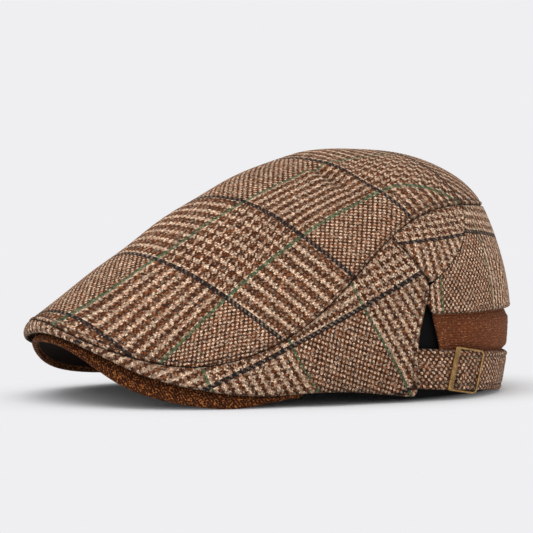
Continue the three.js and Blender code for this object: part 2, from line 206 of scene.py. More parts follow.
def section_at(t):
    row = CROWN(t)
    rim, seam, opening = row[..., 0:3], row[..., 3:6], row[..., 6:9]
    inward = unit((BUTTON - seam) * (1, 1, 0))
    rise, lean, flare = (np.radians(row[..., k, None]) for k in (9, 10, 11))
    return rim, seam, opening, inward, rise, lean, flare, np.maximum(row[..., 12], 0)


def side(t, v):
    """The side, from the rim (v = 0) up to the top seam (v = 1)."""
    t, v = paired(t, v)
    rim, seam, _, inward, _, lean, flare, _ = section_at(t)
    pull = np.linalg.norm(seam - rim, axis=-1, keepdims=True) * SIDE_PULL
    first = rim + pull * (UP * np.cos(flare) - inward * np.sin(flare))
    second = seam - pull * (inward * np.sin(lean) + UP * np.cos(lean))
    return bezier(rim, first, second, seam, v[..., None])


def top(t, v):
    """The top, from the seam (v = 0) to the button point (v = 1)."""
    t, v = paired(t, v)
    _, seam, _, inward, rise, _, _, _ = section_at(t)
    pull = np.linalg.norm(BUTTON - seam, axis=-1, keepdims=True) * TOP_PULL
    first = seam + pull * (inward * np.cos(rise) + UP * np.sin(rise))
    bend = BEND_ACROSS * inward[..., :1] ** 2 + BEND_ALONG * inward[..., 1:2] ** 2
    reach = np.sqrt(np.maximum(BUTTON[2] - first[..., 2:3], 1) * 2 / (3 * bend))
    second = BUTTON - inward * reach
    return bezier(seam, first, second, BUTTON, v[..., None])


def normal_of(surface, t, v, step=0.002):
    t, v = paired(t, v)
    around = surface(t + step, v) - surface(t - step, v)
    along = surface(t, np.minimum(v + step, 1)) - surface(t, np.maximum(v - step, 0))
    normal = unit(np.cross(around, along))
    flat = np.linalg.norm(around, axis=-1) < 1e-3
    normal[flat] = UP
    return normal


HALVINGS = 26


def fraction_at(t, z):
    """The height fraction at which the side stands at height z."""
    t, z = paired(t, z)
    low, high = np.zeros(t.shape), np.ones(t.shape)
    for _ in range(HALVINGS):
        middle = (low + high) / 2
        below = side(t, middle)[..., 2] < z
        low = np.where(below, middle, low)
        high = np.where(below, high, middle)
    return (low + high) / 2


# ---------------------------------------------------------------- making meshes

MM = 0.001


def to_row(points):
    """Points in millimetres from the head's centre, as metres in the part's own frame."""
    return (points + (0, HEAD_Y, 0)) * MM


def linked(name, data):
    piece = bpy.data.objects.new(name, data)
    bpy.context.scene.collection.objects.link(piece)
    return piece


def object_from(name, vertices, faces, cloth=None, marks=None):
    """A smooth mesh object from the vertices that its faces use.

    cloth has a row for each vertex, and each named mark has a number for it.
    """
    used, corners = np.unique(np.concatenate(faces), return_inverse=True)
    corners = iter(corners.ravel().tolist())
    mesh = bpy.data.meshes.new(name)
    mesh.from_pydata(vertices[used].tolist(), [], [[next(corners) for _ in face] for face in faces])
    mesh.polygons.foreach_set("use_smooth", [True] * len(mesh.polygons))
    if cloth is not None:
        order = np.empty(len(mesh.loops), int)
        mesh.loops.foreach_get("vertex_index", order)
        layer = mesh.uv_layers.new(name="cloth")
        layer.data.foreach_set("uv", np.asarray(cloth[used], np.float32)[order].ravel())
    for mark, values in (marks or {}).items():
        attribute = mesh.attributes.new(mark, "FLOAT", "POINT")
        attribute.data.foreach_set("value", np.asarray(values[used], np.float32))
    return linked(name, mesh)


def grid_faces(index, flip, loop):
    """Faces over a grid of vertex numbers. A quad with two corners in one becomes a triangle."""
    if loop:
        index = np.vstack([index, index[:1]])
    a, b, c, d = index[:-1, :-1], index[1:, :-1], index[1:, 1:], index[:-1, 1:]
    quads = np.stack([a, b, c, d], -1).reshape(-1, 4)
    if flip:
        quads = quads[:, ::-1]
    faces = []
    for quad in quads.tolist():
        corners = [q for k, q in enumerate(quad) if q != quad[k - 1]]
        if len(corners) > 2:
            faces.append(corners)
    return faces


def closed_wall(name, outer, inner, cloth, marks, behind_marks, loop=False, pole=False):
    """A closed wall from an outer and an inner grid, which meet all along their edges.

    A loop's last column joins its first, and at a pole the last row is one point.
    """
    columns, rows = outer.shape[:2]
    number = np.arange(columns * rows).reshape(columns, rows)
    if pole:
        number[:, -1] = number[0, -1]
    shared = np.zeros((columns, rows), bool)
    shared[:, 0] = True
    if not pole:
        shared[:, -1] = True
    if not loop:
        shared[0] = shared[-1] = True
    behind = number + columns * rows
    behind[shared] = number[shared]
    points = np.concatenate([outer.reshape(-1, 3), inner.reshape(-1, 3)])
    faces = grid_faces(number, False, loop) + grid_faces(behind, True, loop)
    both = {k: np.concatenate([m.ravel(), behind_marks.get(k, m).ravel()]) for k, m in marks.items()}
    return object_from(name, to_row(points), faces, np.tile(cloth.reshape(-1, 2), (2, 1)), both)


def roll(distance, radius):
    """How far a rolled edge has risen: 0 at the very edge and 1 from radius inwards."""
    return np.sqrt(1 - (1 - np.clip(distance / radius, 0, 1)) ** 2)


def cloth_wall(
    name, points, normals, cloth, edge, wall, relief, radius=1.1, floor=None, under=None, crease=0.0, **how
):
    """A cloth panel of one thickness with rolled edges.

    edge is the distance to the nearest edge. relief lifts the cloth. crease darkens it as painted shade, and
    under is 1 where the wall's inner side is coloured near-black.
    """
    tuck = wall / 2 * (1 - roll(edge, radius))
    outer = points + normals * (relief - tuck)[..., None]
    inner = points + normals * (relief - wall + tuck)[..., None]
    if floor is not None:
        outer[..., 2] = np.maximum(outer[..., 2], floor)
        inner[..., 2] = np.maximum(inner[..., 2], floor)
    # Painted shade: this mark darkens the cloth towards its rolled edges and along the creases given.
    marks, behind_marks = {"groove_shade_and_patina": np.maximum(1 - roll(edge, 2.0 * radius), crease)}, {}
    if under is not None:
        marks["under"], behind_marks["under"] = 0 * under, under
    return closed_wall(name, outer, inner, cloth, marks, behind_marks, **how)


# Distances in from an edge at which the rows of a rolled edge lie.
EDGE_STEPS = [0, 0.12, 0.3, 0.55, 0.85, 1.2, 1.6, 2.05, 2.5, 3.0, 3.5, 4.1, 5.0]
# The most of a narrow piece's width that the steps at one edge may take.
MOST_NEAR = 0.46


def run_and_end(points, row):
    """How far each column of a grid is along one of its rows, and how far from the nearer end."""
    run = run_along(points[:, row])[:, None] + np.zeros(points.shape[:2])
    return run, np.minimum(run, run[-1] - run)


def graded(count, edge_steps, length):
    """Distances from 0 to length, close together for the edge_steps at both ends."""
    steps = np.array(edge_steps)
    length = np.asarray(length, float)[..., None]
    shrink = np.minimum(1, MOST_NEAR * length / steps[-1])
    near = steps * shrink
    middle = np.linspace(0, 1, count + 2)[1:-1]
    between = near[..., -1:] + (length - 2 * near[..., -1:]) * middle
    return np.concatenate([near, between, length - near[..., ::-1]], -1)


PROFILE_STEPS = 121


def profile_runs(surface, t, high=1.0):
    """Even steps of v up to high, and how far the profile at each t has run at them."""
    v = np.linspace(0, high, PROFILE_STEPS)
    step = np.linalg.norm(np.diff(surface(t[:, None], v), axis=1), axis=-1)
    return v, np.concatenate([np.zeros((len(t), 1)), np.cumsum(step, 1)], 1)


def along_profile(surface, t, distances, high=1.0):
    """v where the profile at t has run each distance. distances has a row for each t."""
    v, run = profile_runs(surface, t, high)
    return np.stack([np.interp(wanted, r, v) for wanted, r in zip(distances, run)])


def profile_length(surface, t):
    return profile_runs(surface, t)[1][:, -1]


def rows_to_end(surface, t, near, count):
    """Distances along each profile, at first near its start and then even ones to its end, and v at them."""
    length = profile_length(surface, t)[:, None]
    rest = near[-1] + (length - near[-1]) * np.linspace(0, 1, count)[1:]
    distances = np.concatenate([np.tile(near, (len(t), 1)), rest], 1)
    v = along_profile(surface, t, distances)
    v[:, -1] = 1
    return distances, v


# ---------------------------------------------------------------- folds

# Soft folds of the cloth: middle, direction across the fold, half width, half length, height.
FOLDS = [
    ((36, -12, 118), (-0.45, 0.88, 0.05), 2.8, 15, -2.6),
    ((34, -4, 121), (-0.45, 0.88, 0.05), 4.4, 17, 2.2),
    ((31, -20, 119), (-0.35, 0.9, 0.1), 5, 15, 1.4),
    ((44, 6, 116), (-0.7, 0.7, 0), 4, 15, -0.7),
    ((52, 83.5, 66.5), (-0.73, 0.3, 0.56), 2.3, 8, 1.0),
    ((51, 86, 71), (-0.73, 0.3, 0.56), 2.5, 6, -1.3),
    ((86, -12, 16), (0, 0.94, 0.34), 10, 18, -0.9),
    ((88, -36, 14), (0, 0.97, 0.2), 9, 16, 0.8),
    ((70, -98, 36), (0.3, 0.9, 0.3), 12, 20, -0.7),
    ((-30, 0, 124), (0.4, 0.9, 0), 7, 24, 0.8),
    ((-84, 0, 40), (0, 0.9, 0.4), 10, 26, -0.9),
]

# Long shallow waves that keep the cloth from looking moulded: direction and phase per millimetre.
WAVES = [
    ((0.071, 0.043, 0.02), 0.4), ((-0.038, 0.069, 0.05), 1.9), ((0.052, -0.061, 0.083), 3.1),
    ((0.11, 0.03, -0.07), 4.4), ((-0.02, 0.13, 0.06), 0.9), ((0.09, 0.11, 0.04), 2.6),
]
WAVE_HEIGHT = 0.16


def folds(points):
    height = np.zeros(points.shape[:-1])
    for middle, direction, half_width, half_length, rise in FOLDS:
        from_middle, across = points - middle, unit(direction)
        x = from_middle @ across
        rest = np.linalg.norm(from_middle - x[..., None] * across, axis=-1)
        height += rise * np.exp(-((x / half_width) ** 2) - (rest / half_length) ** 2)
    for direction, phase in WAVES:
        height += WAVE_HEIGHT * np.sin(points @ np.array(direction) + phase)
    return height


# ---------------------------------------------------------------- how the check lies on each panel

# Cloth coordinates count blocks of the check: a whole number is an overcheck line.
BLOCK = 52.0


def middle_line():
    """Height and run from the button of the top's middle line, for each y."""
    v = np.linspace(0, 1, 300)
    front, back = top(0.0, v), top(float(HALF), v)
    line = np.concatenate([front, back[::-1][1:]])
    run = run_along(line)
    return line[:, 1], line[:, 2], run - run[len(front) - 1]


MIDDLE_Y, MIDDLE_Z, MIDDLE_RUN = middle_line()


# The top's check, in millimetres along and across from the button. The first two lines that run along:
# where each lies at the knee in front of the button, how the first bends away before and behind the knee,
# how the second spreads towards the front, and the width of the blocks beyond them.
KNEE = 75
FIRST_LINE, BEND_BEFORE, BEND_BEHIND = 30, (9.5, 115), (12, 95)
SECOND_LINE, SPREAD, BLOCK_BEYOND = 55.5, 0.185, 50
# The lines that run across: how they slope, hang down at the sides and shear from front to back, where
# the first lies, and the length of the block behind it and of those further back.
SLOPE = 0.33
HANG, HANG_EASED, HANG_REACH = 0.29, 4.5, 15
SHEAR, SHEAR_RUN = (0.74, 1.05), (-185, -75)
FRONT_LINE, FRONT_BLOCK, BACK_BLOCK = 204, 51.5, 54


def top_cloth(points):
    """The top is cut a little off the straight, and its check closes up towards the back."""
    x, y, z = points[..., 0], points[..., 1], points[..., 2]
    across = np.sign(x) * np.hypot(x, np.maximum(np.interp(y, MIDDLE_Y, MIDDLE_Z) - z, 0))
    along = np.interp(y, MIDDLE_Y, MIDDLE_RUN)
    from_knee = along + KNEE
    before, behind = (bend * (from_knee / reach) ** 2 for bend, reach in (BEND_BEFORE, BEND_BEHIND))
    first = FIRST_LINE - np.where(from_knee < 0, before, behind)
    second = SECOND_LINE + SPREAD * np.maximum(-along, 0)
    u = (across - first) / (second - first)
    u = np.where(u > 1, 1 + (across - second) / BLOCK_BEYOND, u)
    u = np.where(u < 0, (across - first) / BLOCK_BEYOND, u)
    far = np.abs(across)
    hang = HANG * far - HANG_EASED * (1 - np.exp(-far / HANG_REACH))
    shear = mix(*SHEAR, smooth(along, *SHEAR_RUN))
    past = along - shear * (SLOPE * across + hang) + FRONT_LINE
    v = np.where(past < FRONT_BLOCK, 1 + past / FRONT_BLOCK, 2 + (past - FRONT_BLOCK) / BACK_BLOCK)
    return np.stack([u, v], -1)


def round_run():
    """Run round the side at half height, from where y = 0 on the left."""
    t = np.linspace(-ROUND / 2, ROUND, 1500)
    line = side(t, 0.5)
    run = run_along(line)
    left = (t > 0) & (t < HALF)
    start = np.interp(0, line[left, 1], run[left])
    return t, run - start


ROUND_T, ROUND_RUN = round_run()


def turned_cloth(t, points, turn, origin, wide, lean=0.0):
    """A panel's check, turned by so many degrees on the side. Its upright lines lean by some more."""
    run, rise = np.interp(t, ROUND_T, ROUND_RUN), points[..., 2] * 1.04
    level, upright = math.radians(turn), math.radians(turn + lean)
    u = run * math.cos(upright) + rise * math.sin(upright)
    v = rise * math.cos(level) - run * math.sin(level)
    return np.stack([(u - origin[0]) / wide, (v - origin[1]) / BLOCK], -1)


# ---------------------------------------------------------------- tweed panels

TWEED = 2.0
SEAM_TUCK = 4.0
# Millimetres round the rear of the side for each whole number of t.
REAR_SCALE = 45.0
HALF_GAP_TURN = GAP / 2 / REAR_SCALE
HEM_CORNER = 3.6
# The slot's hem turns into the gusset's dart between these shares of the side's height.
DART = (CORNER - 0.03, CORNER + 0.03)
GUSSET_START = CORNER + 0.02
BACK_START, BACK_DIP = 6.26, 5
# The band swells most where it is a narrow strip in front, and not at all where it is higher.
STRIP_SWELL, STRIP_HEIGHTS = 0.5, (8, 22)

# How many columns and rows the meshes have, and where the rows lie close together.
TOP_ROWS_NEAR = [*EDGE_STEPS, 6.5, 8.5, 11.0]
TOP_COLUMNS, TOP_ROWS = 430, 64
SIDE_COLUMNS, SIDE_ROWS, SIDE_REACH = 471, 24, 6.05
GUSSET_COLUMNS, GUSSET_ROWS = 34, 46
BACK_COLUMNS, BACK_ROWS, BACK_NEAR, BACK_CLOSE = 200, 64, 30, 0.12

# Raised and sunk lines along a piece's edge: height, distance in from the edge and half width of each.
TOP_WELT = [(0.42, 1.3, 0.8), (-0.38, 2.8, 0.5)]
SLOT_HEM = [(0.45, 1.4, 0.9), (-0.5, 2.9, 0.5), (0.35, 4.4, 0.9)]
DART_WELT = [(0.3, 1.3, 0.9)]
GUSSET_WELT = [(0.3, 1.0, 1.2)]
BACK_WELT = [(0.4, 0.9, 1.1)]
BACK_HEM = [(0.25, 1.2, 1.0)]
STRAP_HEM = [(0.35, 1.5, 1.0), (-0.5, 3.2, 0.5)]
INSERT_HEM = [(0.3, 3.4, 1.6), (-0.18, 6.2, 0.8)]
SWEATBAND_SEAM = [(-0.25, 30.0, 0.7)]
PEAK_TURN = [(0.2, 3.6, 1.4), (-0.12, 6.3, 0.7)]

side_rear_edge = edge_curve(SIDE_REAR_EDGE)
gusset_rear_edge = edge_curve(GUSSET_REAR_EDGE)


def welts(distance, shapes):
    return sum(height * bump(distance, centre, width) for height, centre, width in shapes)


def mitre(t):
    """The direction midway between the side and the top along their seam."""
    return unit(normal_of(side, t, 1.0) + normal_of(top, t, 0.0))


def near_seam(normals, t, distance):
    """Normals that lean to the mitre close to the top seam, so that both panels meet there."""
    share = (1 - smooth(distance, 0, SEAM_TUCK))[..., None]
    return unit(mix(normals, mitre(t), share))


def build_crown_top():
    t = np.linspace(0, ROUND, TOP_COLUMNS, endpoint=False)
    distances, v = rows_to_end(top, t, GAP / 2 + np.array(TOP_ROWS_NEAR), TOP_ROWS)
    around = np.broadcast_to(t[:, None], v.shape)
    points = top(around, v)
    edge = distances - GAP / 2
    normals = near_seam(normal_of(top, around, v), around, edge)
    fold = folds(points)
    # Painted shade: the cloth is darker in the hollows of its folds and along the sunk line beside the seam.
    fold_hollow_shade = np.clip(-fold / 3, 0, 1) ** 1.5
    return cloth_wall(
        "top_panel", points, normals, top_cloth(points), edge, TWEED, fold + welts(edge, TOP_WELT),
        crease=np.maximum(0.85 * bump(edge, 2.8, 0.55), 0.55 * fold_hollow_shade), loop=True, pole=True,
    )


# How the check lies on the side's panels: turn in degrees, where a block starts, lean and width.
SIDE_CHECK = dict(turn=24.6, origin=(11.4 - 2 * 48.4, 53.3 - 2 * BLOCK), lean=5, wide=48.4)
LEFT_GUSSET_CHECK = dict(turn=4.6, origin=(10, 84 - 2 * BLOCK), wide=78)
RIGHT_GUSSET_CHECK = dict(turn=-4.6, origin=(66, 84 - 2 * BLOCK), wide=78)
BACK_CHECK = dict(turn=-4.8, origin=(28.6 - 41.8, 96.2 - 2 * BLOCK), wide=41.8)


def side_panel(name, t, v, above, edge, relief, check, **how):
    """A tweed panel of the side. above is the distance below the top seam."""
    points = side(t, v)
    normals = near_seam(normal_of(side, t, v), t, above)
    cloth = turned_cloth(t, points, **check)
    return cloth_wall(name, points, normals, cloth, edge, TWEED, folds(points) + relief, **how)


def build_side_band():
    nominal = np.linspace(-SIDE_REACH, SIDE_REACH, SIDE_COLUMNS)
    length = profile_length(side, nominal) - GAP / 2
    below = graded(SIDE_ROWS, EDGE_STEPS, length)
    above = length[:, None] - below
    v = along_profile(side, nominal, below)
    reach = side_rear_edge(v) - HALF_GAP_TURN
    height = side(reach, v)[..., 2] - side(reach, 0.0)[..., 2]
    rounding = np.clip(HEM_CORNER - height, 0, HEM_CORNER)
    reach = reach - (HEM_CORNER - np.sqrt(HEM_CORNER**2 - rounding**2)) / REAR_SCALE

    run = reach * REAR_SCALE * 2
    ends, count = np.array(EDGE_STEPS), len(EDGE_STEPS)
    middle = np.linspace(0, 1, len(nominal) - 2 * count + 2)[1:-1, None]
    from_left = np.empty_like(v)
    from_left[:count] = ends[:, None]
    from_left[count:-count] = ends[-1] + (run[count:-count] - 2 * ends[-1]) * middle
    from_left[-count:] = run[-count:] - ends[::-1, None]
    t = from_left / REAR_SCALE - reach
    end = np.minimum(from_left, run - from_left)

    free = 1 - smooth(v, *DART)
    share = np.clip(below / length[:, None], 0, 1)
    narrow = (1 - smooth(length, *STRIP_HEIGHTS))[:, None]
    strip = STRIP_SWELL * narrow * (1 - (2 * share - 1) ** 2)
    relief = mix(welts(end, DART_WELT), welts(end, SLOT_HEM), free) + strip
    edge = nearest(end / 1.1, above, below / 1.5)
    # Painted shade along the sunk line of the slot's hem.
    crease = 0.7 * bump(end, 2.9, 0.5) * free
    return side_panel("side_band_cloth", t, v, above, edge, relief, SIDE_CHECK, radius=1.4, crease=crease)


def eased(count):
    return 0.5 - 0.5 * np.cos(np.pi * np.linspace(0, 1, count))


def build_gusset(name, sign, check):
    up, share = eased(GUSSET_ROWS), eased(GUSSET_COLUMNS)[:, None]
    v = np.broadcast_to(mix(GUSSET_START, 1, up), (GUSSET_COLUMNS, GUSSET_ROWS))
    front, rear = side_rear_edge(v) + HALF_GAP_TURN, gusset_rear_edge(v) - HALF_GAP_TURN
    share = share if sign > 0 else 1 - share
    t = mix(front, rear, share)
    t = t if sign > 0 else ROUND - t
    tall = np.linalg.norm(side(t, 1.0) - side(t, CORNER), axis=-1) / (1 - CORNER)
    above, below = (1 - v) * tall, (v - GUSSET_START) * tall
    width = (rear - front) * REAR_SCALE
    to_front, to_rear = share * width, (1 - share) * width
    edge = nearest(to_front, to_rear * 2.5, above, below)
    return side_panel(name, t, v, above, edge, welts(to_rear, GUSSET_WELT), check, radius=1.4)


def build_back_panel():
    near = eased(2 * BACK_NEAR)[:BACK_NEAR] * BACK_CLOSE
    middle = np.linspace(BACK_CLOSE / 2, 1 - BACK_CLOSE / 2, BACK_COLUMNS)[1:-1]
    across, up = np.concatenate([near, middle, 1 - near[::-1]]), eased(BACK_ROWS)
    nominal = mix(BACK_START, ROUND - BACK_START, across)
    dip = BACK_DIP * (1 - smooth(from_front(nominal), BACK_START, BACK_START + 0.19)) ** 2
    low = fraction_at(nominal, SLOT_TOP + dip)[:, None]
    v = low + (1 - low) * up
    reach = np.where(v < CORNER, side_rear_edge(v), gusset_rear_edge(v)) + HALF_GAP_TURN
    t = mix(reach, ROUND - reach, across[:, None])
    tall = np.linalg.norm(side(t, 1.0) - side(t, low), axis=-1)
    above, below = np.maximum((1 - up) * tall - GAP / 2, 0), up * tall
    to_side = np.minimum(across, 1 - across)[:, None] * (ROUND - 2 * reach) * REAR_SCALE
    ridge = welts(to_side, BACK_WELT) * smooth(v, CORNER, CORNER + 0.04)
    edge = nearest(to_side * 2, above, below / 1.3)
    relief = ridge + welts(below, BACK_HEM)
    return side_panel("back_panel_cloth", t, v, above, edge, relief, BACK_CHECK, radius=1.3)


# ---------------------------------------------------------------- strap and insert

STRAP_WIDTH, STRAP_WALL = 21.5, 2.4
STRAP_START = 5.85
# The strap's lower edge and how deep it lies, from where it leaves the slot to where it has settled.
STRAP_LOW, STRAP_SLOPE = (6.6, 0.0), (6.2, 8.2)
STRAP_DEPTH, STRAP_EMERGES = (2.6, 0.2), (6.12, 6.45)
STRAP_ROWS, STRAP_MIDDLE_ROW = 14, 14
# The strap is raised where it runs over the buckle's bars.
BUCKLE_AT, BUCKLE_LIFT = 6.8, 1.7
BUCKLE_BESIDE = 0.33
LOOP_ENDS, LOOP_STEP = (-0.15, 0.15), 0.045


def from_front(t):
    return np.minimum(t, ROUND - t)


def strap_low(t):
    start, end = STRAP_SLOPE
    return mix(*STRAP_LOW, np.clip((from_front(t) - start) / (end - start), 0, 1))


def strap_depth(t):
    face = mix(*STRAP_DEPTH, smooth(from_front(t), *STRAP_EMERGES))
    first, last = (BUCKLE_AT + x for x in LOOP_ENDS)
    return face - BUCKLE_LIFT * (smooth(t, first, first + LOOP_STEP) - smooth(t, last - LOOP_STEP, last))


def level_point(t, z, depth):
    """A point at height z, moved level from the side's surface by depth, and the level way out."""
    v = fraction_at(t, z)
    outward = unit(normal_of(side, t, v) * (1, 1, 0))
    point = side(t, v) - outward * np.asarray(depth)[..., None]
    point[..., 2] = z
    return point, outward


def build_strap():
    beside = np.linspace(BUCKLE_AT - BUCKLE_BESIDE, BUCKLE_AT + BUCKLE_BESIDE, 50)
    before = np.linspace(STRAP_START, beside[0], 44)[:-1]
    beyond = np.linspace(beside[-1], ROUND - STRAP_START, 300)[1:]
    rise = graded(STRAP_ROWS, EDGE_STEPS, np.array([STRAP_WIDTH]))[0]
    t, up = np.meshgrid(np.concatenate([before, beside, beyond]), rise, indexing="ij")
    points, outward = level_point(t, strap_low(t) + up, strap_depth(t))
    run, end = run_and_end(points, STRAP_MIDDLE_ROW)
    margin = np.minimum(up, STRAP_WIDTH - up)
    relief = welts(margin, STRAP_HEM)
    relief += 0.3 * (1 - (2 * up / STRAP_WIDTH - 1) ** 2)
    relief += 0.12 * np.sin(run * 0.31) * np.sin(up * 0.5 + run * 0.11)
    # Painted shade at the steps where the strap rises over the buckle's bars, and along its sunk stitch line.
    strap_shade = sum(0.8 * bump(t, BUCKLE_AT + x, 0.018) for x in LOOP_ENDS) + 0.5 * bump(margin, 3.2, 0.5)
    cloth = np.stack([(run - 104 + up * 0.4) / 100, (up + run * 0.05 + 30) / 100 + 1], -1)
    return cloth_wall(
        "strap_cloth", points, outward, cloth, np.minimum(margin, end) / 1.2, STRAP_WALL, relief,
        radius=1.0, crease=np.minimum(strap_shade, 1),
    )


INSERT_WALL = 1.4
INSERT_LOW, INSERT_HIGH = 8.0, 50.5
# Where the insert starts round the cap: at its top, and how much further back below the slant's heights.
INSERT_START, INSERT_SLANT, SLANT_HEIGHTS = 6.4, 0.07, (26, 46)
INSERT_DEPTH, INSERT_BULGE, INSERT_TUCKED = 3.3, 2.4, 2.4
INSERT_ROWS, INSERT_COLUMNS, INSERT_SPAN, INSERT_MIDDLE_ROW = 30, 260, 420, 20


def insert_depth(t, z):
    """The insert rises over the strap, swells, and is tucked behind the back panel at its top."""
    strap_top = strap_low(t) + STRAP_WIDTH
    rises = smooth(z, strap_top + 0.4, strap_top + 4)
    tucks = smooth(z, SLOT_TOP - 6, SLOT_TOP - 0.5)
    swell = smooth(from_front(t), INSERT_START, INSERT_START + 0.7)
    face = INSERT_DEPTH - INSERT_BULGE * rises * (1 - tucks) * swell
    return mix(face, np.maximum(face, INSERT_TUCKED), tucks)


def build_insert():
    ends = np.array(EDGE_STEPS) / INSERT_SPAN
    share = np.concatenate([ends, np.linspace(0.014, 0.986, INSERT_COLUMNS), 1 - ends[::-1]])
    rise = graded(INSERT_ROWS, EDGE_STEPS[:9], np.array([INSERT_HIGH - INSERT_LOW]))[0]
    share, up = np.meshgrid(share, rise, indexing="ij")
    z = INSERT_LOW + up
    start = INSERT_START + INSERT_SLANT * (1 - smooth(z, *SLANT_HEIGHTS))
    t = mix(start, ROUND - start, share)
    points, outward = level_point(t, z, insert_depth(t, z))
    run, end = run_and_end(points, INSERT_MIDDLE_ROW)
    edge = nearest(up, INSERT_HIGH - INSERT_LOW - up, end) / 0.9
    relief = welts(end, INSERT_HEM)
    relief += 0.1 * np.sin(z * 1.9 + 0.4 * np.sin(run * 0.21)) * smooth(end, 5, 9)
    cloth = np.stack([run, z], -1)
    return cloth_wall("insert_elastic", points, outward, cloth, edge, INSERT_WALL, relief, radius=1.0)


# ---------------------------------------------------------------- lining

LINING, LINING_GAP = 1.0, 1.2
LINING_COLUMNS, LINING_ROWS = 260, 40
SWEATBAND = SWEATBAND_SEAM[0][1]
SHOULDER_LENGTH = 80


def lining_shoulder(t, v):
    t, v = paired(t, v)
    return top(t, mix(section_at(t)[7], 1, v))


def inset_shoulder(t, v):
    return lining_shoulder(t, v) - normal_of(lining_shoulder, t, v) * (TWEED + LINING_GAP)


def lining_wall(t, v):
    """The lining's side, from the opening's edge (v = 0) up to its shoulder (v = 1)."""
    t, v = paired(t, v)
    _, _, opening, inward, _, _, flare, _ = section_at(t)
    meets = inset_shoulder(t, 0.0)
    along = unit(inset_shoulder(t, 0.01) - meets)
    pull = np.linalg.norm(opening - meets, axis=-1, keepdims=True) * LINING_PULL
    first = opening + pull * (UP * np.cos(flare) - inward * np.sin(flare))
    return bezier(opening, first, meets - along * pull, meets, v[..., None])


def build_lining():
    t = np.linspace(0, ROUND, LINING_COLUMNS, endpoint=False)
    distances, v = rows_to_end(lining_wall, t, EDGE_STEPS[:8], LINING_ROWS)
    around, over = t[:, None], np.tile(np.linspace(0, 1, LINING_ROWS)[1:], (len(t), 1))
    points = np.concatenate([lining_wall(around, v), inset_shoulder(around, over)], 1)
    normals = np.concatenate([normal_of(lining_wall, around, v), normal_of(inset_shoulder, around, over)], 1)
    edge = np.concatenate([distances, np.full(over.shape, 200.0)], 1)
    tall = np.concatenate([distances, distances[:, -1:] + over * SHOULDER_LENGTH], 1)
    cloth = np.stack([np.interp(t, ROUND_T, ROUND_RUN)[:, None] + 0 * tall, tall], -1)
    return cloth_wall(
        "lining_cloth", points, normals, cloth, edge, LINING, welts(edge, SWEATBAND_SEAM),
        radius=0.6, loop=True, pole=True,
    )


# ---------------------------------------------------------------- peak

PEAK_BOARD = 3.2
PEAK_TIP = 84.5
PEAK_EDGE_RUN, PEAK_BOARD_RUN = 0.9, 0.7
PEAK_COLUMNS, PEAK_ROWS = 290, 26
TURN_UNDER = 4.0

# The peak's lower edge, its bend under the rim and its back, from the front centre to the tip.
PEAK = [
    ((0, -163.8, 31.5), (0, -162.8, 40), (0, -104, 36)),
    ((34, -157.2, 27.4), (33, -156, 34.5), (23, -99.5, 34)),
    ((61.5, -138, 11), (60, -136.5, 22.5), (43, -89, 28)),
    ((78.5, -108, 2), (77.5, -107, 12.5), (59, -75, 19)),
    ((84.5, -82, 0.4), (84, -81.5, 8.5), (71, -60, 11)),
    ((84.5, -52, 5.4), (83.5, -51, 7.6), (78.5, -46, 6.5)),
]
PEAK_LAST = 2 * len(PEAK) - 2


def peak_curve():
    right = []
    for section, sag in zip(PEAK, SAG):
        sags = (sag, sag, NO_SAG)
        right.append([n for p, s in zip(section, sags) for n in mirrored(p, min(p[0] / PEAK_TIP, 1), s)])
    return spline(right[:0:-1] + [[*edge, *bend, *back] for edge, bend, back in PEAK], False)


PEAK_CURVE = peak_curve()


def peak_face(t, v):
    t, v = paired(t, v)
    row = PEAK_CURVE(np.clip(t, 0, PEAK_LAST))
    edge, bend, back = row[..., 0:3], row[..., 3:6], row[..., 6:9]
    return bezier(edge, mix(edge, bend, PEAK_EDGE_RUN), mix(back, bend, PEAK_BOARD_RUN), back, v[..., None])


def build_peak():
    ends = np.array(EDGE_STEPS) / 26
    middle = np.linspace(ends[-1], PEAK_LAST - ends[-1], PEAK_COLUMNS)[1:-1]
    t = np.concatenate([ends, middle, PEAK_LAST - ends[::-1]])
    length = profile_length(peak_face, t)
    distances = graded(PEAK_ROWS, EDGE_STEPS, length)
    v = along_profile(peak_face, t, distances)
    around = np.broadcast_to(t[:, None], v.shape)
    points = peak_face(around, v)
    normals = normal_of(peak_face, np.clip(around, 0.01, PEAK_LAST - 0.01), v)
    run, end = run_and_end(points, 0)
    edge = nearest(distances, length[:, None] - distances, end) / 1.7
    cloth = np.stack([run, distances], -1)
    return cloth_wall(
        "peak_cloth", points, normals, cloth, edge, PEAK_BOARD, welts(distances, PEAK_TURN), radius=1.0,
        floor=0.02, under=smooth(distances, TURN_UNDER, TURN_UNDER + 0.8),
    )


# ---------------------------------------------------------------- shader expressions


def tone(*screen):
    """A colour given as screen values from 0 to 255."""
    return [c / 255 / 12.92 if c <= 10 else ((c / 255 + 0.055) / 1.055) ** 2.4 for c in screen] + [1]


def add_node(tree, kind, settings=None, sockets=None, output=0):
    """An output of a new node. Each of its sockets is given a number or what it is linked from."""
    node = tree.nodes.new(kind)
    for key, setting in (settings or {}).items():
        setattr(node, key, setting)
    for key, given in (sockets or {}).items():
        given = getattr(given, "socket", given)
        if isinstance(given, bpy.types.NodeSocket):
            tree.links.new(given, node.inputs[key])
        else:
            node.inputs[key].default_value = given
    return node.outputs[output] if node.outputs else None


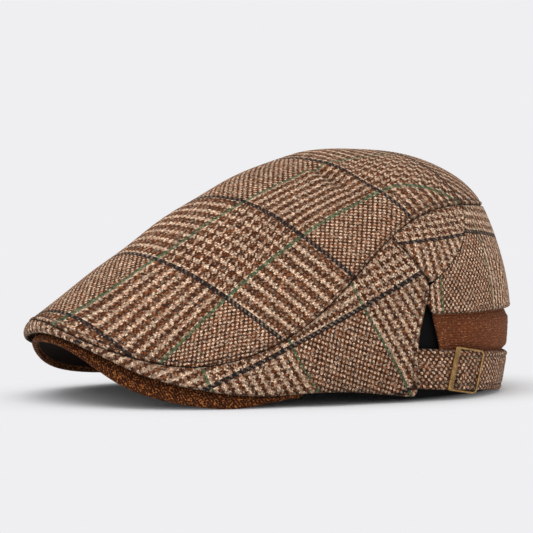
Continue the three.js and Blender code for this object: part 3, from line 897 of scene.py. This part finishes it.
class Value:
    """A number in a material. Arithmetic on it adds Math nodes."""

    def __init__(self, finish, socket):
        self.finish, self.socket = finish, socket

    def calculated(self, operation, *others):
        sockets = dict(enumerate((self, *others)))
        return self.finish.value("ShaderNodeMath", {"operation": operation}, sockets)

    __add__ = __radd__ = partialmethod(calculated, "ADD")
    __mul__ = __rmul__ = partialmethod(calculated, "MULTIPLY")
    __sub__ = partialmethod(calculated, "SUBTRACT")
    __truediv__ = partialmethod(calculated, "DIVIDE")
    __mod__ = partialmethod(calculated, "FLOORED_MODULO")
    __lt__ = partialmethod(calculated, "LESS_THAN")
    __gt__ = partialmethod(calculated, "GREATER_THAN")
    floor = partialmethod(calculated, "FLOOR")
    sine = partialmethod(calculated, "SINE")
    squared = partialmethod(calculated, "POWER", 2)

    def __rsub__(self, other):
        return self * -1 + other

    def clamped(self):
        return self.finish.value("ShaderNodeClamp", {}, {0: self})

    def eased(self, low, high):
        """0 below low and 1 above high, smoothly between."""
        settings = {"interpolation_type": "SMOOTHSTEP"}
        return self.finish.value("ShaderNodeMapRange", settings, {0: self, 1: low, 2: high})


def choose(share, first, second):
    """first where share is 0 and second where it is 1."""
    return first + share * (second - first)


class Finish:
    """One material and its nodes."""

    def __init__(self, name):
        self.material = bpy.data.materials.new(name)
        self.material.use_nodes = True
        self.tree = self.material.node_tree
        self.tree.nodes.clear()

    def node(self, kind, settings=None, sockets=None, output=0):
        return add_node(self.tree, kind, settings, sockets, output)

    def value(self, kind, settings=None, sockets=None, output=0):
        return Value(self, self.node(kind, settings, sockets, output))

    def split(self, vector):
        outputs = self.node("ShaderNodeSeparateXYZ", {}, {0: vector}).node.outputs
        return [Value(self, socket) for socket in outputs]

    def joined(self, x=0.0, y=0.0, z=0.0):
        return self.node("ShaderNodeCombineXYZ", {}, {0: x, 1: y, 2: z})

    def cloth(self):
        """The piece's own cloth coordinates."""
        return self.split(self.node("ShaderNodeUVMap", {"uv_map": "cloth"}))[:2]

    def place(self):
        return self.node("ShaderNodeTexCoord", output="Object")

    def mark(self, name):
        return self.value("ShaderNodeAttribute", {"attribute_name": name}, {}, 2)

    def noise(self, where, scale, detail=2.0, roughness=0.5):
        sockets = {"Vector": where, "Scale": scale, "Detail": detail, "Roughness": roughness}
        return self.value("ShaderNodeTexNoise", {}, sockets)

    def grain(self, *looks):
        """Noise in the part's own space."""
        return self.noise(self.place(), *looks)

    def chance(self, x, y, which=0.0):
        """A number from 0 to 1, the same all over one cell."""
        cell = self.joined(x, y, which)
        return self.value("ShaderNodeTexWhiteNoise", {"noise_dimensions": "3D"}, {0: cell})

    def blend(self, share, first, second):
        return self.node("ShaderNodeMix", {"data_type": "RGBA"}, {0: share, 6: first, 7: second}, 2)

    def shaded(self, colour, amount):
        """A colour made lighter or darker by a number."""
        grey = self.joined(amount, amount, amount)
        return self.node("ShaderNodeVectorMath", {"operation": "MULTIPLY"}, {0: colour, 1: grey})

    def close(self, colour, roughness, height, depth, **constants):
        """Ends the material in a Principled shader. depth is the bump's height in metres."""
        normal = self.node("ShaderNodeBump", {}, {"Height": height, "Distance": depth, "Strength": 1.0})
        sockets = {"Base Color": colour, "Roughness": roughness, "Normal": normal}
        sockets.update({key.replace("_", " "): number for key, number in constants.items()})
        return self.ended(self.node("ShaderNodeBsdfPrincipled", {}, sockets))

    def ended(self, shader):
        self.node("ShaderNodeOutputMaterial", {}, {0: shader})
        return self.material


# ---------------------------------------------------------------- finishes

UMBER = tone(70, 36, 17)
CREAM = tone(233, 201, 171)
RUST = tone(152, 84, 42)
MOSS = tone(66, 106, 74)
SOOT = tone(26, 25, 28)

# Threads in a broad block and in a fine one. The first threads of each block are overcheck.
TOP_THREADS = (66, 66)
SIDE_THREADS = (60, 64)
OVERCHECK = 2
BLACK_THREADS = 3
PALE_SHARE = 0.37
# How much of the threads across and along shows in the blocks between the broad and the fine ones.
ACROSS_SHOWS, ALONG_SHOWS = 0.74, 0.2
STRAY, CLOUDY = 0.45, 0.75


def stripes(second, thread, broad, jag):
    """1 on pale threads: broad stripes in the first kind of block, fine ones in the second."""
    past = thread - OVERCHECK
    fine = (past % 4) < 2
    return choose(second, ((past + jag) % (2 * broad)) < 2 * broad * PALE_SHARE, fine)


def tweed(name, threads, broad, green_threads=2.0, dot=5, bare=None, painted_light=1.08):
    """Brown and cream glen check, woven thread by thread in a two and two twill.

    The bare block, where one is given, starts without its green line.
    """
    f = Finish(name)
    block, second, run, thread, within = [], [], [], [], []
    for along in f.cloth():
        b = along.floor()
        s = b % 2
        r = (along - b) * choose(s, threads[0], threads[1])
        number = r.floor()
        block.append(b), second.append(s), run.append(r), thread.append(number), within.append(r - number)
    u, v = thread
    up = ((u + v) % 4) < 2
    pale_u, pale_v = (stripes(s, n, broad, up) for s, n in zip(second, thread))
    only_u, only_v = second[1] * (1 - second[0]), second[0] * (1 - second[1])
    shown_u = choose(only_v, pale_u, ACROSS_SHOWS * pale_v + ALONG_SHOWS * pale_u)
    shown_v = choose(only_u, pale_v, ACROSS_SHOWS * pale_u + ALONG_SHOWS * pale_v)
    pale = choose(up, shown_v, shown_u)
    across, down = (run[0] + run[1]) * (2 * math.pi / dot), (run[0] - run[1]) * (2 * math.pi / 4)
    wave = (across.sine() + down.sine()) * 0.5
    pale = choose(second[0] * second[1], pale, wave.eased(0.04, 0.42))

    where = [n + b * 97 for n, b in zip(thread, block)]
    speck, fleck, stray = (f.chance(*where, which) for which in (0.0, 5.0, 11.0))
    line_u, line_v = f.chance(where[0], 0.0, 9.0), f.chance(0.0, where[1], 7.0)
    over = choose(up, within[1], within[0])
    float_height = 1 - (2 * over - 1).squared()
    fibre = f.grain(1500.0, 2.0, 0.6)
    cloudy = f.grain(260.0, 3.0, 0.6)
    pale = pale + (stray > 0.86) * STRAY - (stray < 0.15) * STRAY + (cloudy - 0.5) * CLOUDY
    pale = pale.clamped()
    colour = f.blend(pale, UMBER, CREAM)
    colour = f.blend((fleck > 0.68) * 0.6, colour, RUST)
    colour = f.blend((fleck < 0.1) * 0.6, colour, UMBER)
    green = (u < green_threads) * choose(up, 0.6, 1.0) * (fleck > 0.12)
    if bare is not None:
        green = green * (1 - (block[0] > bare - 0.5) * (block[0] < bare + 0.5))
    black = (v < BLACK_THREADS) * choose(up, 1.0, 0.65)
    colour = f.blend(green * 0.85, colour, MOSS)
    colour = f.blend(black, colour, SOOT)

    mottle = f.grain(55.0, 3.0)
    # Painted shade: each thread float darker towards its ends, and the cloth darker at its seams, edges,
    # creases and fold hollows; speck, fibre, line and mottle vary the cloth's own tone.
    light = (0.55 + 0.45 * float_height) * (0.5 + speck) * (0.5 + fibre)
    light = light * (0.86 + 0.14 * line_u + 0.14 * line_v) * (0.84 + 0.32 * mottle)
    light = light * (1 - f.mark("groove_shade_and_patina") * 0.9)
    # Painted light and shade: the whole panel made lighter or darker by its factor.
    colour = f.shaded(colour, light * painted_light)
    height = float_height * 0.6 + fibre * 0.9 + speck * 0.3
    return f.close(
        colour, 0.86 + 0.1 * mottle, height, 0.0003,
        Sheen_Weight=0.1, Sheen_Roughness=0.5, Sheen_Tint=tone(226, 190, 158), Specular_IOR_Level=0.15,
    )


PEAK_THREAD = 0.6


def peak_twill():
    """Dark rust threads in a steep fine twill with orange specks, over a black underside."""
    f = Finish("rust_twill")
    run, rise = f.cloth()
    u, v = run / PEAK_THREAD, rise / PEAK_THREAD
    iu, iv = u.floor(), v.floor()
    up = ((iu + iv) % 3) < 1
    fu, fv = u - iu, v - iv
    speck, fleck = f.chance(iu, iv), f.chance(iu, iv, 3.0)
    float_height = 1 - (2 * choose(up, fv, fu) - 1).squared()
    colour = f.blend(up, tone(72, 36, 18), tone(146, 82, 42))
    colour = f.blend((fleck > 0.86) * 0.85, colour, tone(222, 138, 76))
    colour = f.blend((fleck < 0.2) * 0.7, colour, tone(34, 20, 14))
    mottle = f.grain(70.0, 3.0)
    # Painted shade: each float darker towards its ends, and the cloth darker towards its edges; speck and
    # mottle vary its own tone.
    light = (0.6 + 0.4 * float_height) * (0.7 + 0.6 * speck) * (0.8 + 0.4 * mottle)
    light = light * (0.72 - f.mark("groove_shade_and_patina") * 0.25)
    # The peak's underside is coloured near-black from just past its turned edge.
    under = f.mark("under")
    colour = f.blend(under, f.shaded(colour, light), tone(7, 5, 5))
    fuzz = f.grain(1000.0, 2.0)
    return f.close(
        colour, 0.85 + 0.1 * mottle, float_height * 0.7 + fuzz * 0.5, 0.00022,
        Sheen_Weight=0.06, Sheen_Roughness=0.45, Sheen_Tint=tone(210, 140, 90), Specular_IOR_Level=0.12,
    )


def brushed_elastic():
    f = Finish("brushed_brown_elastic")
    run, rise = f.cloth()
    nap = f.noise(f.joined(run * 0.5, rise * 1.4), 1.0, 4.0, 0.65)
    soft = f.grain(120.0, 3.0)
    colour = f.blend(nap.eased(0.3, 0.7), tone(84, 42, 22), tone(132, 76, 46))
    light_fleck = f.chance((run / 0.7).floor(), (rise / 0.5).floor())
    colour = f.blend((light_fleck > 0.93) * 0.6, colour, tone(190, 126, 84))
    rib = (rise * 4.6).sine() * 0.5 + 0.5
    # Painted shade: darker between the ribs and towards the insert's edges and hem; soft varies its own tone.
    light = (0.74 + 0.52 * soft) * (0.82 + 0.26 * rib) * (1 - f.mark("groove_shade_and_patina") * 0.35)
    height = nap * 0.6 + rib * 0.6 + f.grain(1300.0, 2.0) * 0.6
    return f.close(
        f.shaded(colour, light), 0.9 + 0.08 * soft, height, 0.00035,
        Sheen_Weight=0.18, Sheen_Roughness=0.45, Sheen_Tint=tone(190, 130, 95), Specular_IOR_Level=0.15,
    )


def black_lining():
    f = Finish("black_twill_lining")
    run, rise = f.cloth()
    fine = ((run + rise) * 7.0).sine() * 0.5 + 0.5
    band = rise.eased(SWEATBAND - 0.4, SWEATBAND + 0.4)
    rib = (rise * 5.2).sine() * 0.5 + 0.5
    soft = f.grain(60.0, 3.0)
    colour = f.blend(soft, tone(7, 6, 6), tone(15, 13, 12))
    height = choose(band, rib, fine)
    # Painted shade: the lining darker in the hollows of its weave and ribs.
    return f.close(
        f.shaded(colour, 0.85 + 0.3 * height), 0.6 + 0.2 * soft, height, 0.00008,
        Sheen_Weight=0.02, Sheen_Roughness=0.4, Specular_IOR_Level=0.12,
    )


def sewing_thread():
    f = Finish("brown_thread")
    x, y, z = f.split(f.place())
    twist = ((x + y + z) * 9000).sine() * 0.5 + 0.5
    soft = f.grain(300.0)
    colour = f.blend(soft, tone(78, 50, 34), tone(122, 86, 60))
    # Painted shade: the thread darker in the hollows of its twist.
    return f.close(f.shaded(colour, 0.75 + 0.25 * twist), 0.6 + 0.2 * soft, twist, 0.00005, Sheen_Weight=0.1)


def antique_brass():
    f = Finish("antique_brass")
    wear = f.grain(420.0, 4.0, 0.6)
    fine = f.grain(2600.0, 3.0)
    low = f.mark("groove_shade_and_patina")
    colour = f.blend(wear.eased(0.3, 0.7), tone(134, 102, 62), tone(196, 158, 104))
    colour = f.blend(low * 0.75, colour, tone(58, 40, 24))
    rough = (0.3 + 0.22 * wear + 0.25 * low).clamped()
    return f.close(colour, rough, fine, 0.00003, Metallic=1.0)


FLOOR = [0.82, 0.82, 0.825, 1]
BACKDROP = tone(239, 239, 241)
FLOOR_FADE = (0.11, 0.215)
FOOTPRINT = (1.5, 1, 1)


def pale_floor():
    """A matt floor that turns into a lit backdrop. It is clear from below, so that the cap shows."""
    f = Finish("pale_floor")
    place = f.place()
    soft = f.noise(place, 3.0)
    colour = f.blend(soft, FLOOR, [c * 1.01 for c in FLOOR[:3]] + [1])
    floor = f.node("ShaderNodeBsdfDiffuse", {}, {"Color": colour})
    backdrop = f.node("ShaderNodeEmission", {}, {"Color": BACKDROP, "Strength": 1.0})
    oval = f.node("ShaderNodeVectorMath", {"operation": "MULTIPLY"}, {0: place, 1: FOOTPRINT})
    far = f.value("ShaderNodeVectorMath", {"operation": "LENGTH"}, {0: oval}, "Value").eased(*FLOOR_FADE)
    face = f.node("ShaderNodeMixShader", {}, {0: far, 1: floor, 2: backdrop})
    behind = f.node("ShaderNodeNewGeometry", output="Backfacing")
    clear = f.node("ShaderNodeBsdfTransparent")
    return f.ended(f.node("ShaderNodeMixShader", {}, {0: behind, 1: face, 2: clear}))


# ---------------------------------------------------------------- stitches

STITCH_PITCH = 3.1
STITCH_LENGTH = 2.3
THREAD = 0.42
# How far in from the edge each line of stitches is, and how deep it is sunk.
SEAM_IN, HEM_IN, STRAP_IN, STRAP_END_IN = 2.8, 2.9, 3.2, 0.06
SEAM_SUNK, HEM_SUNK, STRAP_SUNK = 0.28, 0.35, 0.12


def stitch_tree():
    """Lays one stitch at each pitch along a path, lengthwise and facing the path's own up."""
    tree = bpy.data.node_groups.new("stitch_run", "GeometryNodeTree")
    kinds = {"Path": "Geometry", "Finish": "Material"}
    for label in ("Path", "Pitch", "Stitch", "Thread", "Finish"):
        kind = kinds.get(label, "Float")
        tree.interface.new_socket(label, in_out="INPUT", socket_type="NodeSocket" + kind)
    tree.interface.new_socket("Stitches", in_out="OUTPUT", socket_type="NodeSocketGeometry")

    def add(kind, settings=None, sockets=None):
        return add_node(tree, kind, settings, sockets)

    given = add("NodeGroupInput").node.outputs
    curve = add("GeometryNodeMeshToCurve", {}, {"Mesh": given["Path"]})
    spaced = add("GeometryNodeResampleCurve", {"mode": "LENGTH"}, {"Curve": curve, "Length": given["Pitch"]})
    up = add("GeometryNodeInputNamedAttribute", {"data_type": "FLOAT_VECTOR"}, {"Name": "up"})
    along = add("GeometryNodeInputTangent")
    turned = add(
        "FunctionNodeAxesToRotation", {"primary_axis": "X", "secondary_axis": "Z"},
        {"Primary Axis": along, "Secondary Axis": up},
    )
    bead = add("GeometryNodeMeshUVSphere", {}, {"Segments": 6, "Rings": 4, "Radius": 0.5})
    size = add("ShaderNodeCombineXYZ", {}, {0: given["Stitch"], 1: given["Thread"], 2: given["Thread"]})
    sockets = {"Points": spaced, "Instance": bead, "Rotation": turned, "Scale": size}
    placed = add("GeometryNodeInstanceOnPoints", {}, sockets)
    real = add("GeometryNodeRealizeInstances", {}, {0: placed})
    rounded = add("GeometryNodeSetShadeSmooth", {}, {0: real})
    finished = add("GeometryNodeSetMaterial", {}, {"Geometry": rounded, "Material": given["Finish"]})
    add("NodeGroupOutput", {}, {0: finished})
    return tree


def stitches(name, lines, tree, finish):
    """Stitches along lines. Each is a pair: its points in millimetres and the ways out at them."""
    vertices, ups, edges = [], [], []
    for points, outward in lines:
        first = len(vertices)
        vertices += to_row(points).tolist()
        ups += outward.tolist()
        edges += [(first + k, first + k + 1) for k in range(len(points) - 1)]
    mesh = bpy.data.meshes.new(name + "_path")
    mesh.from_pydata(vertices, edges, [])
    mesh.attributes.new("up", "FLOAT_VECTOR", "POINT").data.foreach_set("vector", np.array(ups).ravel())
    path = linked(name + "_path", mesh)
    modifier = path.modifiers.new("stitches", "NODES")
    modifier.node_group = tree
    values = {"Pitch": STITCH_PITCH * MM, "Stitch": STITCH_LENGTH * MM, "Thread": THREAD * MM}
    values["Finish"] = finish
    for item in tree.interface.items_tree:
        if item.item_type == "SOCKET" and item.in_out == "INPUT" and item.name in values:
            modifier[item.identifier] = values[item.name]
    evaluated = path.evaluated_get(bpy.context.evaluated_depsgraph_get())
    piece = linked(name, bpy.data.meshes.new_from_object(evaluated))
    bpy.data.objects.remove(path)
    return piece


def top_seam_line():
    t = np.linspace(0, ROUND, 700)
    reach = np.full((len(t), 1), GAP / 2 + SEAM_IN)
    v = along_profile(top, t, reach, 0.25)[:, 0]
    points, outward = top(t, v), normal_of(top, t, v)
    return points + outward * (folds(points) - SEAM_SUNK)[:, None], outward


def strap_line(height):
    t = np.linspace(STRAP_START + STRAP_END_IN, ROUND - STRAP_START - STRAP_END_IN, 600)
    points, outward = level_point(t, strap_low(t) + height, strap_depth(t))
    return points - outward * STRAP_SUNK, outward


def hem_line(left):
    v = np.linspace(0.06, CORNER - 0.04, 80)
    t = side_rear_edge(v) - (GAP / 2 + HEM_IN) / REAR_SCALE
    t = t if left else ROUND - t
    points, outward = side(t, v), normal_of(side, t, v)
    return points + outward * (folds(points) - HEM_SUNK)[:, None], outward


# ---------------------------------------------------------------- buckle

BUCKLE_LENGTH, BUCKLE_HEIGHT = 22.6, 23.8
BAR, PLATE, WIRE = 3.6, 1.1, 1.15
BAR_ROUND, BAR_SQUARENESS = 0.9, 0.4
HATCH_PITCH, HATCH_DEPTH = 1.35, 0.16
BUCKLE_SINK, BUCKLE_PROUD, BUCKLE_TURN = 2.6, 0.5, -9.0
FRAME_CORNER, STAPLE_CORNER = 2.4, 0.9


def placed_on_strap(points):
    """Points of the buckle laid flat, x along the strap and z out, moved to its place."""
    t = BUCKLE_AT
    v = fraction_at(t, strap_low(t) + STRAP_WIDTH / 2)
    outward = normal_of(side, t, v)
    along = unit(np.cross(side(t, v + 0.05) - side(t, v - 0.05), outward))
    upward = np.cross(outward, along)
    c, s = math.cos(math.radians(BUCKLE_TURN)), math.sin(math.radians(BUCKLE_TURN))
    x, y, z = (points[..., k : k + 1] for k in range(3))
    flat = (x * c - y * s) * along + (x * s + y * c) * upward
    return side(t, v) + outward * (BUCKLE_PROUD + z) + flat


def rounded_path(corners, radius, steps=7):
    """A line through the corners, each one turned on an arc."""
    corners = np.array(corners, float)
    points = [corners[0]]
    for before, corner, after in zip(corners, corners[1:], corners[2:]):
        inward, onward = unit(before - corner), unit(after - corner)
        for share in np.linspace(0, 1, steps):
            angle = math.pi / 2 * share
            points.append(corner + radius * (inward * (1 - math.sin(angle)) + onward * (1 - math.cos(angle))))
    return np.array(points + [corners[-1]])


def tube(points, radius, around=12):
    """A round rod along a path in the plane of its corners, with domed ends."""
    tangent = unit(np.gradient(points, axis=0))
    plane = unit(np.cross(points[1] - points[0], points[-1] - points[len(points) // 2]))
    sideways = np.cross(tangent, plane)
    middle, doubled_ends = len(points), ((2, 2), (0, 0))
    path, tangent, sideways = (
        np.pad(x, doubled_ends, "edge")[:, None] for x in (points, tangent, sideways)
    )
    scale = np.array([0.001, 0.7, *[1] * middle, 0.7, 0.001])[:, None, None]
    shift = np.array([-0.35, -0.25, *[0] * middle, 0.25, 0.35])[:, None, None]
    angle = np.linspace(0, 2 * math.pi, around, endpoint=False)[:, None]
    ring = np.cos(angle) * sideways + np.sin(angle) * plane
    return path + (tangent * shift + ring * scale) * radius


def tooled_bar():
    """The broad flat bar, with rounded ends and a hatch cut across its face."""
    half, near = BUCKLE_HEIGHT / 2, eased(14)[:7] * 1.6
    y = np.concatenate([near - half, np.linspace(BAR_ROUND - half, half - BAR_ROUND, 110), half - near[::-1]])
    shrink = roll(np.maximum(half - np.abs(y), 0.02 * BAR_ROUND), BAR_ROUND)[:, None]
    angle = np.linspace(0, 2 * math.pi, 40, endpoint=False)
    x, z = (np.sign(w) * np.abs(w) ** BAR_SQUARENESS / 2 for w in (np.cos(angle), np.sin(angle)))
    points = np.zeros((len(y), len(angle), 3))
    points[..., 0] = x * BAR * shrink - (BUCKLE_LENGTH - BAR) / 2
    points[..., 1] = y[:, None]
    points[..., 2] = z * PLATE * shrink
    lean = points[..., 0] - points[..., 0].mean()
    cut = np.abs(np.sin((points[..., 1] + 0.75 * lean) * math.pi / HATCH_PITCH)) < 0.36
    cut &= (points[..., 2] > PLATE * 0.35) & (np.abs(lean) < BAR * 0.42)
    points[..., 2] -= HATCH_DEPTH * cut
    return points, cut.astype(float)


def skin(grids, name):
    """One mesh from grids of rings of points, each closed at both its ends and with its mark."""
    vertices, faces, low = [], [], []
    for grid, mark in grids:
        first = sum(len(v) for v in vertices)
        rings, around = grid.shape[:2]
        number = first + np.arange(rings * around).reshape(rings, around)
        faces += grid_faces(number.T, False, True) + [number[0][::-1].tolist(), number[-1].tolist()]
        vertices.append(grid.reshape(-1, 3))
        low.append(np.broadcast_to(mark, (rings, around)).ravel())
    points = placed_on_strap(np.concatenate(vertices))
    piece = object_from(name, to_row(points), faces, None, {"groove_shade_and_patina": np.concatenate(low)})
    shape = bmesh.new()
    shape.from_mesh(piece.data)
    bmesh.ops.recalc_face_normals(shape, faces=shape.faces)
    shape.to_mesh(piece.data)
    shape.free()
    return piece


def build_buckle():
    rail, end = BUCKLE_HEIGHT / 2 - WIRE / 2, BUCKLE_LENGTH / 2 - WIRE / 2
    from_bar = -BUCKLE_LENGTH / 2 + BAR * 0.6
    frame_path = [(from_bar, rail, 0), (end, rail, 0), (end, -rail, 0), (from_bar, -rail, 0)]
    staple = [(0, rail, 0), (0, rail, -BUCKLE_SINK), (0, -rail, -BUCKLE_SINK), (0, -rail, 0)]
    wire = tube(rounded_path(frame_path, FRAME_CORNER), WIRE / 2)
    cross_bar = tube(rounded_path(staple, STAPLE_CORNER), WIRE / 2 - 0.1)
    return skin([tooled_bar(), (wire, 0.0), (cross_bar, 0.3)], "slide_buckle")


# ---------------------------------------------------------------- the cap

# One tweed in lit and shaded copies: the brightness factor given last paints the back and top lighter and the
# side darker.
TOP_TWEED = tweed("checked_tweed_top", TOP_THREADS, 4, 3.0, 4, painted_light=1.12)
SIDE_TWEED = tweed("checked_tweed_side", SIDE_THREADS, 3, bare=-1, painted_light=0.98)
BACK_TWEED = tweed("checked_tweed_back", TOP_THREADS, 3, painted_light=1.2)
GUSSET_TWEED = tweed("checked_tweed_gusset", (84, 66), 3)
STRAP_TWEED = tweed("checked_tweed_strap", (130, 130), 3)


def finished(piece, finish, slot, *nodes):
    piece.data.materials.clear()
    piece.data.materials.append(finish)
    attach(piece, "root")
    if nodes:
        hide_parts(*nodes)


finished(build_crown_top(), TOP_TWEED, "tweed", "crown_top")
finished(build_side_band(), SIDE_TWEED, "tweed", "side_band")
left_gusset = build_gusset("gusset_left_cloth", 1, LEFT_GUSSET_CHECK)
right_gusset = build_gusset("gusset_right_cloth", -1, RIGHT_GUSSET_CHECK)
finished(left_gusset, GUSSET_TWEED, "tweed", "gusset_left")
finished(right_gusset, GUSSET_TWEED, "tweed", "gusset_right")
finished(build_back_panel(), BACK_TWEED, "tweed", "back_panel")
finished(build_strap(), STRAP_TWEED, "tweed", "back_strap")
finished(build_peak(), peak_twill(), "twill", "peak")
finished(build_insert(), brushed_elastic(), "elastic", "inner_band")
finished(build_lining(), black_lining(), "lining", "lining")
finished(build_buckle(), antique_brass(), "brass", "buckle")

STITCHES, BROWN_THREAD = stitch_tree(), sewing_thread()
for name, lines in (
    ("top_seam_stitches", [top_seam_line()]),
    ("strap_stitches", [strap_line(STRAP_IN), strap_line(STRAP_WIDTH - STRAP_IN)]),
    ("hem_stitches", [hem_line(True), hem_line(False)]),
):
    finished(stitches(name, lines, STITCHES, BROWN_THREAD), BROWN_THREAD, "tweed")


# ---------------------------------------------------------------- floor, light and camera

FLOOR_REACH, FLOOR_BEND, FLOOR_SIDES = 2.5, 0.7, 96


def build_floor():
    """A round floor that turns up at its edge, so that it stays plain from every side."""
    arc = np.linspace(0, math.pi / 2, 10)
    radius = np.concatenate([[0, 0.4, 1.0, 1.8], FLOOR_REACH + FLOOR_BEND * np.sin(arc)])
    height = np.concatenate([[0] * 4, FLOOR_BEND * (1 - np.cos(arc))])
    angle = np.linspace(0, 2 * math.pi, FLOOR_SIDES, endpoint=False)[:, None]
    points = np.stack(np.broadcast_arrays(np.cos(angle) * radius, np.sin(angle) * radius, height), -1)
    number = np.arange(points[..., 0].size).reshape(FLOOR_SIDES, -1)
    number[:, 0] = 0
    floor = object_from("floor", points.reshape(-1, 3), grid_faces(number, True, True))
    floor.data.materials.append(pale_floor())


build_floor()
scene = bpy.context.scene
scene.view_settings.view_transform = "Standard"
scene.world = bpy.data.worlds.new("studio")
scene.world.use_nodes = True
sky = scene.world.node_tree.nodes["Background"]
sky.inputs["Color"].default_value = (0.97, 0.985, 1.0, 1)
sky.inputs["Strength"].default_value = 0.6

LIGHT = 0.5
CAMERA_AZIMUTH, CAMERA_RISE = 65.0, 5.2
CAMERA_DISTANCE = 1500
# The picture's centre, right of and above the floor under the head's centre, seen from the camera.
PICTURE_RIGHT, PICTURE_UP = -29.56, 67.96


def facing(azimuth, rise):
    """The direction from the cap to something at an azimuth and rise in degrees."""
    a, e = math.radians(azimuth), math.radians(rise)
    return np.array([math.sin(a) * math.cos(e), -math.cos(a) * math.cos(e), math.sin(e)])


def aimed(name, data, place, direction):
    piece = linked(name, data)
    piece.location = place
    piece.rotation_euler = Vector(direction).to_track_quat("Z", "Y").to_euler()
    return piece


def softbox(name, azimuth, rise, distance, size, power):
    lamp = bpy.data.lights.new(name, "AREA")
    lamp.shape, lamp.size, lamp.energy = "DISK", size, power * LIGHT
    direction = facing(azimuth, rise)
    aimed(name, lamp, direction * distance, direction).visible_camera = False


softbox("top_softbox", 10, 76, 2.2, 2.4, 48)
softbox("front_softbox", 5, 30, 2.3, 1.6, 7)
softbox("side_softbox", 60, 14, 2.3, 1.6, 10)

lens = bpy.data.cameras.new("camera")
lens.sensor_width, lens.lens = 36, 183.4
lens.clip_start, lens.clip_end = 0.05, 20
to_camera = facing(CAMERA_AZIMUTH, CAMERA_RISE)
rightward = facing(CAMERA_AZIMUTH + 90, 0)
centre = rightward * PICTURE_RIGHT + np.cross(to_camera, rightward) * PICTURE_UP
place = to_camera * CAMERA_DISTANCE
scene.camera = aimed("camera", lens, to_row(place), unit(place - centre))
